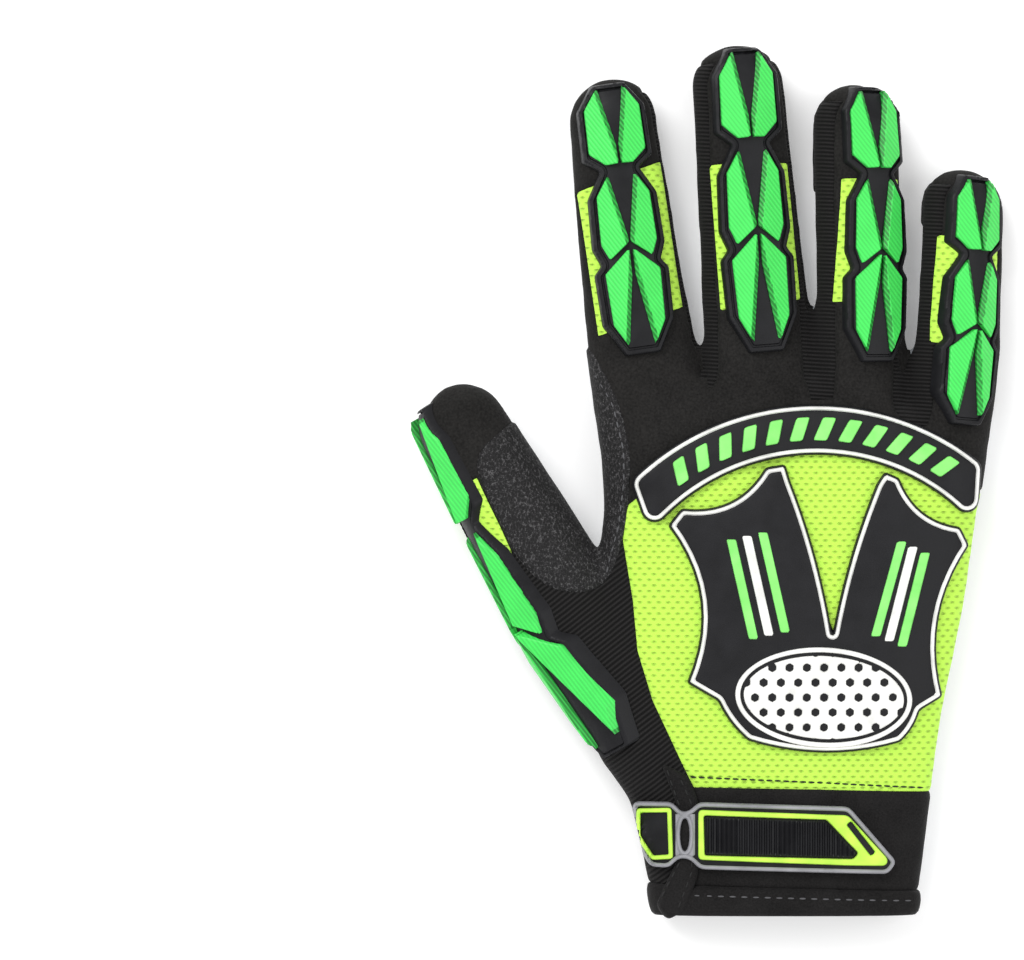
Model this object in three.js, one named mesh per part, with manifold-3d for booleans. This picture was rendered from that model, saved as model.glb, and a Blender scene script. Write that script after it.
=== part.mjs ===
// Right-hand impact glove lying on its palm. Millimetres, +Z up, fingers along +Y, thumb towards -X.
// The origin is the middle of the glove's plan, at the height of the surface that it lies on.

import * as THREE from 'three';
import { mergeVertices } from 'three/addons/utils/BufferGeometryUtils.js';
import Module from 'manifold-3d';

const wasm = await Module();
wasm.setup();

// Cloth and rubber thicknesses
const WALL = 1.6;            // glove cloth
const GAP = 0.3;             // clearance between neighbouring pieces
const PATCH = 0.6;           // grip patches on the palm side
const INSERT = 0.5;          // mesh inserts on the backs of the fingers
const GUARD = 1.2;           // rubber base of a finger guard
const FACET_LOW = 0.5;       // green facet at its outer edge
const FACET_HIGH = 2.1;      // green facet at the guard's middle
const PAD = 2.0;             // knuckle arch and back pad
const PAD_LOW = 13;          // lowest edge of a pad that wraps the side of the hand
const STRIPE = 0.6;
const FLAP = 1.0;            // turned edge of the wrist opening
const TAB = 1.5;             // rubber closure tab
const TAB_FRAME = 0.6;
const HEM_PROUD = 0.6;
const HEM_INSIDE = 0.5;
const WRIST_OPEN = 8;        // how far the hollow runs out past the hem
const TAIL = 4;              // and the wrist flap's tail

// Heights above the cloth at which the layers start
const FLOOR = GAP + PATCH;   // underside of the cloth above the surface
const GUARD_AT = GAP + INSERT + GAP;
const FACET_AT = GUARD_AT + GUARD + GAP;
const STRIPE_AT = GAP + PAD + GAP;
const STRAP = HEM_PROUD + FLAP;
const TAB_AT = GAP + STRAP + GAP;
const TAB_FRAME_AT = TAB_AT + TAB;

const SPLIT_Z = 9;           // seam height between back and palm along the sides
const FAR = 200;             // beyond every piece

// Palm, back of the hand and cuff: one row per cross-section, seen along +Y.
// front is the section's y, left and right its edges, top its height.
const PALM_SIDES = 18;
const PALM_SQUARE = 2.7;
const PALM_BOTTOM = -1.2;
const WRIST_END = -123.6;
const PALM = [
  { front: 28.4, left: -31.5, right: 54.5, top: 19.5 },
  { front: 20.5, left: -31.5, right: 57.5, top: 22.5 },
  { front: 17.0, left: -31.2, right: 79.2, top: 23.5 },
  { front: -6.0, left: -29.8, right: 76.6, top: 25.5 },
  { front: -36.0, left: -32.0, right: 72.4, top: 24.4 },
  { front: -68.0, left: -36.0, right: 65.9, top: 22.6 },
  { front: -80.0, left: -31.0, right: 64.0, top: 22.0 },
  { front: -91.0, left: -23.0, right: 62.8, top: 21.6 },
  { front: -108.0, left: -19.0, right: 61.0, top: 21.6 },
  { front: WRIST_END, left: -16.0, right: 59.0, top: 21.4 },
];

// Fingers and thumb: root and tip in plan, roll of the nail side towards +X, sideways bow,
// half width and half depth at the root, the middle and the tip, top height at the root and the tip.
// middle is where along it the middle sizes hold. The thumb's seams and its guard are rolled over its
// side while its own section lies flat, so its section is turned back by turn in the rolled frame.
// A guard has its start, length and half width, how far its facets spread, and its middle line's
// shift at its base, its middle and its tip.
const DIGIT_SIDES = 10;
const DIGIT_SQUARE = 2.2;
const CAP_ANGLES = [0, 40, 72];
const BODY_STATIONS = [0, 0.5];
const DIGITS = {
  index: {
    root: [-12.6, 0], tip: [-28.8, 115.4], roll: 6, turn: 0, bow: -1.6, cap: 11.4, middle: 0.45,
    wide: [17.0, 14.9, 12.2], deep: [11.2, 9.8, 8.2], top: [23.5, 17.6],
    guard: { from: 36.5, length: 78, half: 10.5, spread: 1, roll: 6, shift: [-2.6, -2.0, -1.5] },
  },
  middle: {
    root: [17.3, 0], tip: [7.0, 124.8], roll: 11, turn: 0, bow: 0, cap: 11.4, middle: 0.45,
    wide: [17.2, 15.2, 13.0], deep: [11.2, 9.8, 8.4], top: [24.0, 18.0],
    guard: { from: 36.5, length: 87.5, half: 10.4, spread: 1, roll: 11, shift: [-0.5, -0.3, 0.8] },
  },
  ring: {
    root: [43.4, 0], tip: [41.2, 113.6], roll: 24, turn: 0, bow: 0.8, cap: 11.4, middle: 0.45,
    wide: [13.2, 13.3, 12.8], deep: [10.8, 9.6, 8.2], top: [23.8, 18.8],
    guard: { from: 33.6, length: 79, half: 9.9, spread: 1, roll: 24, shift: [0.3, 2.4, 1.4] },
  },
  little: {
    root: [66.5, -4], tip: [72.5, 89.4], roll: 33, turn: 0, bow: 1.7, cap: 10.6, middle: 0.45,
    wide: [11.0, 13.4, 12.9], deep: [9.8, 9.6, 8.0], top: [22.4, 18.8],
    guard: { from: 20.0, length: 71.5, half: 9.3, spread: 1, roll: 33, shift: [-1.2, -0.2, -0.6] },
  },
  thumb: {
    root: [-17.1, -76.7], tip: [-76.0, 27.0], roll: -45, turn: -45, bow: 0, cap: 12, middle: 0.35,
    wide: [11.5, 15.5, 11.3], deep: [9.6, 10.6, 9.7], top: [21.0, 20.6],
    guard: { from: 4.5, length: 112.5, half: 9, spread: 1.16, roll: -64, shift: [4, -3.4, -2.7] },
  },
};

// Finger guard outline, from the tip down: along is the part of its length, half of its half width
const GUARD_OUTLINE = [
  { along: 0, half: 0.45 },
  { along: 0.093, half: 0.93 },
  { along: 0.278, half: 0.96 },
  { along: 0.321, half: 0.54 },
  { along: 0.416, half: 0.95 },
  { along: 0.6, half: 1.0 },
  { along: 0.662, half: 0.82 },
  { along: 0.693, half: 1.02 },
  { along: 0.881, half: 0.98 },
  { along: 1, half: 0.48 },
];

// Right facet of each pair in the same measures; the left one mirrors it and the two join at the middle
const JOIN = -0.04;
const FACET_EDGE = 0.75;     // where a facet is down to its lowest
const FACET_REACH = 0.95;
const SURFACE_SIDES = 72;
const FACETS = {
  tip: [
    { along: 0.015, half: 0.35 }, { along: 0.092, half: 0.75 }, { along: 0.253, half: 0.77 },
    { along: 0.3, half: 0.37 }, { along: 0.298, half: JOIN }, { along: 0.227, half: JOIN },
  ],
  middle: [
    { along: 0.335, half: 0.35 }, { along: 0.412, half: 0.72 }, { along: 0.588, half: 0.76 },
    { along: 0.645, half: 0.58 }, { along: 0.59, half: JOIN }, { along: 0.572, half: JOIN },
  ],
  base: [
    { along: 0.614, half: JOIN }, { along: 0.697, half: 0.75 }, { along: 0.884, half: 0.7 },
    { along: 0.97, half: 0.35 }, { along: 0.71, half: JOIN },
  ],
};

// Knuckle arch: part of a ring in plan, with the angle of each end at its inner and outer edge
const ARCH = {
  x: 29.8, y: -53, inner: 60.5, outer: 75, right: [45, 49], left: [138.5, 136], corner: 5, steps: 7,
};

// Back pad: corners in plan, with the sideways bend of the edge to the next one, + being outwards
const BACK_PAD = [
  { x: -8.4, y: -7.6, bend: 0 },
  { x: -12.3, y: -12.5, bend: -6.6 },
  { x: -6.9, y: -57.2, bend: 0 },
  { x: 1.9, y: -62.3, bend: 0.8 },
  { x: 10.5, y: -73.6, bend: 3.2 },
  { x: 53.8, y: -74.2, bend: 0.8 },
  { x: 59.5, y: -65.2, bend: 0 },
  { x: 66.2, y: -61.3, bend: -5.2 },
  { x: 73.7, y: -18.2, bend: 0 },
  { x: 70.9, y: -12.9, bend: -3.4 },
  { x: 53.4, y: 1.0, bend: 0 },
  { x: 49.2, y: 2.8, bend: 0 },
  { x: 46.9, y: -0.6, bend: 1.2 },
  { x: 34.4, y: -43.5, bend: 1.2 },
  { x: 22.5, y: 0, bend: 0 },
  { x: 21.0, y: 4.9, bend: 0 },
  { x: 15.4, y: 4.0, bend: -4.4 },
];
const BEND_STEPS = 3;

// Raised stripes on the back pad: x of the upper and the lower end, one row per stripe
const STRIPE_WIDTH = 2.8;
const STRIPES = [
  { name: 'left_outer_stripe', top: [5.6, -16.4], foot: [12.0, -44.8] },
  { name: 'left_middle_stripe', top: [10.0, -15.4], foot: [16.4, -43.8] },
  { name: 'left_inner_stripe', top: [14.5, -14.4], foot: [21.0, -42.9] },
  { name: 'right_inner_stripe', top: [54.0, -17.0], foot: [46.6, -44.0] },
  { name: 'right_middle_stripe', top: [57.2, -18.5], foot: [50.4, -45.4] },
  { name: 'right_outer_stripe', top: [60.7, -20.2], foot: [54.1, -46.9] },
];
const EMBLEM = { x: 32, y: -61.3, half: [23.5, 12.6], ring: 2.2, turn: -3, steps: 20 };

// Seams of the back, in plan, from the knuckles to the wrist
const MESH_LEFT = [
  [-25.4, -8], [-25.2, -16.7], [-22.3, -33.8], [-20.9, -48.1], [-16.6, -62.3], [-8.6, -79.4], [-4.9, -87],
];
const MESH_TOP = [[FAR, -4], [79, -4], [62, 9], [45, 14.5], [30, 16], [14, 14.5], [-4, 8], [-25.4, -8]];
const MESH_FOOT = [[31.3, -87.6], [FAR, -92]];
const CUFF_LEFT = [[-4.5, -91], [-5.2, -114.8]];
const HEM_TOP = [[-60, -113.5], [FAR, -120.5]];

// Seam of the knit side panel on the palm side, in plan
const KNIT_SEAM = [
  [-95, -30], [-57.1, -38.7], [-35.1, -41], [-22, -55.8], [4.2, -88.8], [9.3, -109.4], [9.6, -119],
];

// Thumb seams, measured along the thumb from its root
const THUMB_PANEL_FROM = 69;
const THUMB_PALM_FROM = 46;
const THUMB_REACH = 19;
const THUMB_SEAM = -9;
const FINGER_SEAM = -3;      // height of a finger's side seams in its own frame

// Palm side patches in plan
const THUMB_CROTCH = [
  [-34.6, 39], [-26, 22.6], [-23, 9], [-22.9, 0], [-24.3, -13.6], [-28.3, -27.8], [-35.1, -32.1],
  [-46, -30.7], [-53.5, -24], [-62, -12], [-67.9, 6.9], [-59.4, 14.6], [-50, 22], [-40, 12], [-37, 39],
];
const CROTCH_STRIP = [
  [-40, 39], [-33.6, 38], [-27, 10], [-25.7, -2], [-27, -14], [-32, -18], [-36, -12], [-45, 10],
];
const PALM_PATCH_TOP = 5;    // how far the palm patches climb the sides
const CROTCH_TURN = 8;       // height at which the back's outline gives way to the palm's strip
const UPPER_PALM = [
  [-0.3, 44.4], [17.8, 43.2], [20.5, 28], [24, 23.6], [28.2, 25], [28.7, 40.1], [44.6, 40.6],
  [45.5, 28.1], [52, 21], [57.2, 19.4], [60.3, 24], [60.3, 36.9], [77, 36.7], [75.1, -3],
  [66, -30], [46.2, -24.7], [22, -10.5], [8, -1.2], [-0.6, 3.6],
];
const LOWER_PALM = [
  [-4.1, -0.8], [8, -7.6], [26, -19.5], [47.8, -28], [65.6, -59.7], [59.7, -67.8], [42.6, -56.7],
  [33.2, -75.5], [14.8, -77.7], [8.2, -51.2], [16.6, -34.9], [-4.1, -29],
];
const THENAR = [[-21, -56.2], [-10.4, -55.8], [0.8, -61.5], [6.7, -69.1], [7.2, -79.3], [3.6, -86.2]];
const HEEL = { x: 40, y: -112, half: [15.5, 15.5], steps: 20 };

// Wrist flap and closure tab in plan
const WRIST_FLAP = [
  [-14.2, -80], [-6.6, -83.6], [-3.5, -90.8], [-3.5, -111.4], [-6.9, -121.6], [-12.2, -125.1],
  [-15.8, -120.8], [-9.6, -108], [-9.6, -92],
];
const TAB_OUTLINE = [
  [-22.2, -92.6], [-21.2, -91.1], [-10.9, -91.1], [-8.6, -93.7], [-6.4, -93.7], [-3.5, -91.1],
  [39.2, -92.4], [52.9, -108.2], [50.4, -111.6], [-3.2, -110.2], [-6.1, -107.3], [-9.2, -107.1],
  [-11.8, -109.9], [-17.2, -109.6], [-22.2, -101.6],
];
const TAB_SLOT = [[-8.6, -96.6], [-6.4, -96.6], [-6.4, -104.2], [-8.6, -104.2]];
const TAB_SMALL_FRAME = [[-21.5, -93.6], [-10.4, -93], [-10.1, -107.4], [-16.4, -107.6], [-21.5, -98.8]];
const TAB_LARGE_FRAME = [[-3.8, -93.2], [38.6, -94.7], [50.6, -107.4], [49.7, -109.2], [-3.8, -107.3]];
const TAB_GRIP = [[-2.2, -94.9], [32.6, -96], [41.6, -105.4], [40.3, -107.0], [-1.9, -106.0]];
const TAB_FRAME_WIDTH = 1.2;
const TAB_BOTTOM = 11.5;

// Knit gussets between the fingers, from the crotch to near the tips, in each finger's own height
const FOURCHETTES = [
  { name: 'fourchette_index_middle', left: 'index', right: 'middle', crotch: [0.8, 28.4] },
  { name: 'fourchette_middle_ring', left: 'middle', right: 'ring', crotch: [32.4, 28.4] },
  { name: 'fourchette_ring_little', left: 'ring', right: 'little', crotch: [59.4, 20] },
];
const FOURCHETTE_LOW = -4.5;
const FOURCHETTE_HIGH = 3.5;
const FOURCHETTE_TIP = 5;
const FOURCHETTE_INSIDE = 6;
const FOURCHETTE_REACH = 17;
const FINGERS = ['index', 'middle', 'ring', 'little'];
const FINGERS_FROM = 24;
const FINGERS_TO = 140;
const FINGER_REACH = 20;
const CROTCH_HALF = 3.5;
const CROTCH_DEPTH = 5;
const CROTCH_LOW = 5;
const CROTCH_HIGH = 17;

// Lines that run up between the fingers, in plan, and bound each finger's own share of it
const FINGER_GAPS = [
  [[1, 0], [1, 24], [-3.2, 46], [-10, 100], [-10, FAR]],
  [[32.4, 0], [32.4, 24], [29.8, 44], [27.5, 70], [26.5, FAR]],
  [[56.7, 0], [56.7, 20], [57.2, 44], [57.3, FAR]],
];

// Mesh inserts on the backs of the digits: corners across and along, in the frame of each one's guard
const INSERTS = {
  index: [[-14.2, 43.5], [-14.2, 85], [11, 90.5], [11.3, 48.5]],
  middle: [[-12, 49.5], [-11.5, 91], [11.6, 90], [11.8, 51]],
  ring: [[-10.8, 51], [-8, 86], [11, 86], [11, 51]],
  little: [[-10.6, 43], [-10.6, 73.5], [9, 73.5], [9, 43]],
  thumb: [[-10, 68], [-10, 90], [6.4, 92], [5.2, 68]],
};
const INSERT_LOW = 1.5;
const GUARD_LOW = 1.5;       // how far the guards stay above the surface that the glove lies on

// Grip patches on the fingertips: the lower edge from side to side, in each digit's own measures
const TIP_PATCHES = [
  { name: 'index', edge: [[-15, 84.5], [15, 89]] },
  { name: 'middle', edge: [[-15, 83.5], [15, 83.5]] },
  { name: 'ring', edge: [[-15, 84], [15, 76]] },
  { name: 'little', edge: [[-15, 78], [15, 70]] },
];
const TIP_PATCH_RISE = -4;
const THUMB_PATCH_RISE = -3;
const THUMB_PATCH = [[-9, 103], [-4, 112], [6, 110], [8, 96], [7, 80], [2, 70], [-6, 78], [-9, 90]];

const MATERIALS = {
  black_fabric: { color: 0x1e1c1b, roughness: 0.9, metalness: 0 },
  knit: { color: 0x191817, roughness: 0.95, metalness: 0 },
  neoprene: { color: 0x1c1b1b, roughness: 0.85, metalness: 0 },
  suede: { color: 0x8e9398, roughness: 0.95, metalness: 0 },
  grip: { color: 0x3c3c3c, roughness: 0.8, metalness: 0 },
  mesh_yellow: { color: 0xc8fa5a, roughness: 0.85, metalness: 0 },
  guard_rubber: { color: 0x1c1c1f, roughness: 0.5, metalness: 0 },
  facet_green: { color: 0x55f06e, roughness: 0.45, metalness: 0 },
  pad_rubber: { color: 0x242427, roughness: 0.6, metalness: 0 },
  stripe_green: { color: 0x8ceb78, roughness: 0.5, metalness: 0 },
  stripe_white: { color: 0xf0f0ee, roughness: 0.5, metalness: 0 },
  tab_rubber: { color: 0x96969b, roughness: 0.5, metalness: 0 },
};

// Closed mesh and manifold solid helpers

function toSolid(geometry) {
  const bare = geometry.clone();
  bare.deleteAttribute('normal');
  bare.deleteAttribute('uv');
  const merged = mergeVertices(bare, 1e-4);
  return new wasm.Manifold(new wasm.Mesh({
    numProp: 3,
    vertProperties: new Float32Array(merged.attributes.position.array),
    triVerts: new Uint32Array(merged.index.array),
  }));
}

function toGeometry(solid) {
  const mesh = solid.getMesh();
  const geometry = new THREE.BufferGeometry();
  geometry.setAttribute('position', new THREE.BufferAttribute(new Float32Array(mesh.vertProperties), 3));
  geometry.setIndex(new THREE.BufferAttribute(new Uint32Array(mesh.triVerts), 1));
  geometry.computeVertexNormals();
  return geometry;
}

function loft(rings) {
  const count = rings[0].length;
  const index = [];
  for (let r = 0; r + 1 < rings.length; r += 1) {
    for (let i = 0; i < count; i += 1) {
      const a = r * count + i;
      const b = r * count + ((i + 1) % count);
      index.push(a, b, a + count, b, b + count, a + count);
    }
  }
  for (let i = 1; i + 1 < count; i += 1) {
    const last = (rings.length - 1) * count;
    index.push(0, i + 1, i, last, last + i, last + i + 1);
  }
  return toSolid(new THREE.BufferGeometry().setFromPoints(rings.flat()).setIndex(index));
}

function union(solids) {
  return solids.reduce((whole, solid) => whole.add(solid));
}

// Outlines: lists of [x, y], made anticlockwise and moved outwards by a distance

function anticlockwise(outline) {
  const points = outline.map(([x, y]) => new THREE.Vector2(x, y));
  return THREE.ShapeUtils.isClockWise(points) ? points.reverse() : points;
}

function grown(outline, distance) {
  const points = anticlockwise(outline);
  return points.map((point, i) => {
    const before = points[(i + points.length - 1) % points.length];
    const after = points[(i + 1) % points.length];
    const back = point.clone().sub(before).normalize();
    const ahead = after.clone().sub(point).normalize();
    const corner = new THREE.Vector2(back.y + ahead.y, -back.x - ahead.x).normalize();
    const reach = distance / Math.max(corner.dot(new THREE.Vector2(back.y, -back.x)), 0.4);
    return [point.x + corner.x * reach, point.y + corner.y * reach];
  });
}

function prism(outline, low = -FAR, high = FAR) {
  const shape = new THREE.Shape(anticlockwise(outline));
  const geometry = new THREE.ExtrudeGeometry(shape, { depth: high - low, bevelEnabled: false });
  return toSolid(geometry.translate(0, 0, low));
}

function bentOutline(corners) {
  return corners.flatMap((corner, i) => {
    const next = corners[(i + 1) % corners.length];
    const steps = corner.bend === 0 ? 1 : BEND_STEPS;
    const run = Math.hypot(next.x - corner.x, next.y - corner.y);
    const out = [-(next.y - corner.y) / run, (next.x - corner.x) / run];
    return Array.from({ length: steps }, (_, k) => {
      const t = k / steps;
      const push = -4 * corner.bend * t * (1 - t);
      const x = THREE.MathUtils.lerp(corner.x, next.x, t) + out[0] * push;
      const y = THREE.MathUtils.lerp(corner.y, next.y, t) + out[1] * push;
      return [x, y];
    });
  });
}

function ellipse({ x, y, half, turn = 0, steps }, extra = 0) {
  const slant = THREE.MathUtils.degToRad(turn);
  return Array.from({ length: steps }, (_, i) => {
    const angle = (2 * Math.PI * i) / steps;
    const point = new THREE.Vector2((half[0] + extra) * Math.cos(angle), (half[1] + extra) * Math.sin(angle));
    point.rotateAround(new THREE.Vector2(), slant);
    return [x + point.x, y + point.y];
  });
}

function archOutline({ x, y, inner, outer, right, left, corner, steps }) {
  const polar = (radius, degrees) => {
    const angle = THREE.MathUtils.degToRad(degrees);
    return [x + radius * Math.cos(angle), y + radius * Math.sin(angle)];
  };
  const sweep = (radius, start, end) => {
    const stops = Array.from({ length: steps + 1 }, (_, i) => i / steps);
    return stops.map((share) => polar(radius, start + (end - start) * share));
  };
  const ease = THREE.MathUtils.radToDeg(corner / outer);
  return [
    ...sweep(outer, right[1] + ease, left[1] - ease),
    polar(outer - corner * 0.3, left[1] - ease * 0.3),
    polar(outer - corner, left[1]),
    ...sweep(inner, left[0], right[0]),
    polar(outer - corner, right[1]),
    polar(outer - corner * 0.3, right[1] + ease * 0.3),
  ];
}

// Forms of the hand

function superellipse(sides, square, halfWidth, halfDepth) {
  return Array.from({ length: sides }, (_, i) => {
    const angle = (2 * Math.PI * i) / sides;
    const c = Math.cos(angle);
    const s = Math.sin(angle);
    return {
      x: halfWidth * Math.sign(c) * Math.abs(c) ** (2 / square),
      z: halfDepth * Math.sign(s) * Math.abs(s) ** (2 / square),
    };
  });
}

function palmForm(grow, wristEnd) {
  const rings = PALM.map(({ front, left, right, top }, i) => {
    const middle = { x: (left + right) / 2, z: (top + PALM_BOTTOM) / 2 };
    const halfWidth = (right - left) / 2 + grow;
    const halfDepth = (top - PALM_BOTTOM) / 2 + grow;
    const section = superellipse(PALM_SIDES, PALM_SQUARE, halfWidth, halfDepth);
    const isFront = i === 0;
    const isWrist = i === PALM.length - 1;
    const y = isWrist ? wristEnd : front + (isFront ? grow : 0);
    return section.map(({ x, z }) => new THREE.Vector3(middle.x + x, y, middle.z + z));
  });
  return loft(rings);
}

// Section points turned by degrees in their own plane
function turned(points, degrees) {
  const angle = THREE.MathUtils.degToRad(degrees);
  const c = Math.cos(angle);
  const s = Math.sin(angle);
  return points.map(({ x, z }) => ({ x: x * c - z * s, z: x * s + z * c }));
}

// Frame at a digit's root: across it, along it and out of its nail side, leaned over by lean
function digitFrame({ root, tip, roll, turn, wide, deep, top }, lean = roll) {
  const rest = THREE.MathUtils.degToRad(roll - turn);
  const height = (end, row) => top[end] - Math.hypot(deep[row] * Math.cos(rest), wide[row] * Math.sin(rest));
  const start = new THREE.Vector3(root[0], root[1], height(0, 0));
  const end = new THREE.Vector3(tip[0], tip[1], height(1, 2));
  const length = start.distanceTo(end);
  const along = end.clone().sub(start).normalize();
  const across = new THREE.Vector3().crossVectors(along, new THREE.Vector3(0, 0, 1)).normalize();
  across.applyAxisAngle(along, THREE.MathUtils.degToRad(lean));
  const nail = new THREE.Vector3().crossVectors(across, along);
  const matrix = new THREE.Matrix4().makeBasis(across, along, nail).setPosition(start);
  return { matrix, length };
}

function alongDigit([root, middle, tip], share, middleShare) {
  return share < middleShare
    ? THREE.MathUtils.lerp(root, middle, share / middleShare)
    : THREE.MathUtils.lerp(middle, tip, (share - middleShare) / (1 - middleShare));
}

// Half width, half depth and sideways offset of a digit at a distance from its root
function digitSection(digit, length, distance, grow) {
  const share = distance / length;
  const capStart = length - digit.cap;
  const climb = Math.max(0, (distance - capStart) / (digit.cap + grow));
  const round = Math.sqrt(Math.max(0, 1 - climb * climb));
  return {
    halfWidth: (alongDigit(digit.wide, share, digit.middle) + grow) * round,
    halfDepth: (alongDigit(digit.deep, share, digit.middle) + grow) * round,
    offset: digit.bow * Math.sin(Math.PI * Math.min(share, 1)),
  };
}

function digitForm(digit, grow) {
  const { matrix, length } = digitFrame(digit);
  const capStart = length - digit.cap;
  const capSines = CAP_ANGLES.map((angle) => Math.sin(THREE.MathUtils.degToRad(angle)));
  const capStations = capSines.map((sine) => capStart + (digit.cap + grow) * sine);
  const stations = [...BODY_STATIONS.map((share) => share * capStart), ...capStations];
  const rings = stations.map((distance) => {
    const { halfWidth, halfDepth, offset } = digitSection(digit, length, distance, grow);
    const section = turned(superellipse(DIGIT_SIDES, DIGIT_SQUARE, halfWidth, halfDepth), digit.turn);
    return section.map(({ x, z }) => new THREE.Vector3(offset + x, distance, z)).reverse();
  });
  return loft(rings).transform(matrix.elements);
}

const bodies = new Map();

// Outer form of the whole hand, grown by a distance and flattened where the glove rests
function body(grow, wristEnd = WRIST_END) {
  const key = `${grow.toFixed(3)} ${wristEnd}`;
  if (!bodies.has(key)) {
    const forms = [palmForm(grow, wristEnd), ...Object.values(DIGITS).map((digit) => digitForm(digit, grow))];
    const flat = prism([[-FAR, -FAR], [FAR, -FAR], [FAR, FAR], [-FAR, FAR]], FLOOR - grow, FAR);
    bodies.set(key, union(forms).intersect(flat));
  }
  return bodies.get(key);
}

function layer(from, thickness, wristEnd = WRIST_END) {
  return body(from + thickness, wristEnd).subtract(body(from, wristEnd));
}

// Regions that cut the cloth into panels: prisms in the glove's frame or in a digit's own frame

function plan(outline, low = -FAR, high = FAR) {
  return (grow) => prism(grown(outline, grow), low - grow, high + grow);
}

function onDigit(name, outline, low, high, lean = DIGITS[name].roll) {
  const { matrix } = digitFrame(DIGITS[name], lean);
  return (grow) => prism(grown(outline, grow), low - grow, high + grow).transform(matrix.elements);
}

function box(left, back, right, front) {
  return [[left, back], [right, back], [right, front], [left, front]];
}

const parts = new Map();

function add(name, solid, material) {
  parts.set(name, { solid, material });
}

// Cloth panels

// The stretch of a finger between two heights in its own frame
function fingerRegion(name, outline, low, high) {
  const place = FINGERS.indexOf(name);
  const left = FINGER_GAPS[place - 1] ?? [[-FAR, 0], [-FAR, FAR]];
  const right = FINGER_GAPS[place] ?? [[FAR, 0], [FAR, FAR]];
  const share = [...left, ...right.toReversed()];
  return (grow) => onDigit(name, outline, low, high)(grow).intersect(prism(share));
}

function fourchetteRegion({ left, right, crotch }) {
  const [x, y] = crotch;
  const side = (name, outward) => {
    const { length } = digitFrame(DIGITS[name]);
    const start = y - CROTCH_DEPTH - DIGITS[name].root[1];
    const end = length - FOURCHETTE_TIP;
    const outline = box(outward * FOURCHETTE_INSIDE, start, outward * FOURCHETTE_REACH, end);
    return onDigit(name, outline, FOURCHETTE_LOW, FOURCHETTE_HIGH);
  };
  const crotchBox = box(x - CROTCH_HALF, y - CROTCH_DEPTH, x + CROTCH_HALF, y + CROTCH_HALF);
  const middle = plan(crotchBox, CROTCH_LOW, CROTCH_HIGH);
  const regions = [side(left, 1), middle, side(right, -1)];
  return (grow) => union(regions.map((one) => one(grow)));
}

// Everything below the side seams, which follow each digit's own roll
function palmRegion(grow) {
  const half = plan(box(-FAR, -FAR, FAR, FAR), -FAR, SPLIT_Z)(grow);
  const sides = box(-FINGER_REACH, FINGERS_FROM, FINGER_REACH, FINGERS_TO);
  const backs = FINGERS.map((name) => fingerRegion(name, sides, FINGER_SEAM, FINGER_REACH)(-grow));
  const fronts = FINGERS.map((name) => fingerRegion(name, sides, -FINGER_REACH, FINGER_SEAM)(grow));
  const thumbFront = box(-THUMB_REACH, THUMB_PALM_FROM, THUMB_REACH, FAR);
  const thumb = onDigit('thumb', thumbFront, -THUMB_REACH, THUMB_SEAM)(grow);
  return half.subtract(union(backs)).add(union([...fronts, thumb]));
}

function buildCloth() {
  const hollow = body(-WALL, WRIST_END - WRIST_OPEN);
  let rest = body(0).subtract(hollow);

  const hemRegion = plan([...HEM_TOP, [FAR, -FAR], [-60, -FAR]]);
  const hemHollow = body(-WALL - HEM_INSIDE, WRIST_END - WRIST_OPEN);
  add('hem_binding', body(HEM_PROUD).subtract(hemHollow).intersect(hemRegion(0)), 'neoprene');
  rest = rest.subtract(hemRegion(GAP));

  const cut = (name, region, material) => {
    add(name, rest.intersect(region(0)), material);
    rest = rest.subtract(region(GAP));
  };

  for (const seam of FOURCHETTES) {
    cut(seam.name, fourchetteRegion(seam), 'knit');
  }

  const thumbSides = box(-FAR, THUMB_PANEL_FROM, FAR, FAR);
  cut('thumb_panel', onDigit('thumb', thumbSides, THUMB_SEAM, FAR), 'black_fabric');

  const knitTop = plan([...MESH_LEFT, ...CUFF_LEFT, [-5.2, -FAR], [-FAR, -FAR], [-FAR, -8]], SPLIT_Z, FAR);
  const knitFoot = plan([...KNIT_SEAM, [9.6, -FAR], [-FAR, -FAR], [-FAR, -30]], -FAR, SPLIT_Z);
  cut('side_panel', (grow) => knitTop(grow).add(knitFoot(grow)), 'knit');

  const meshOutline = [...MESH_LEFT, ...MESH_FOOT, ...MESH_TOP.slice(0, -1)];
  cut('mesh_panel', plan(meshOutline, SPLIT_Z, FAR), 'mesh_yellow');
  const cuffLeft = [MESH_LEFT[MESH_LEFT.length - 1], ...CUFF_LEFT, [-5.2, -FAR]];
  cut('cuff_panel', plan([...cuffLeft, [FAR, -FAR], ...MESH_FOOT.toReversed()], SPLIT_Z, FAR), 'neoprene');

  cut('palm_panel', palmRegion, 'suede');
  add('back_panel', rest, 'black_fabric');
}

function insertRegion(name) {
  return onDigit(name, INSERTS[name], INSERT_LOW, FAR, DIGITS[name].guard.roll);
}

// Grip patches of the palm side

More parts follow.
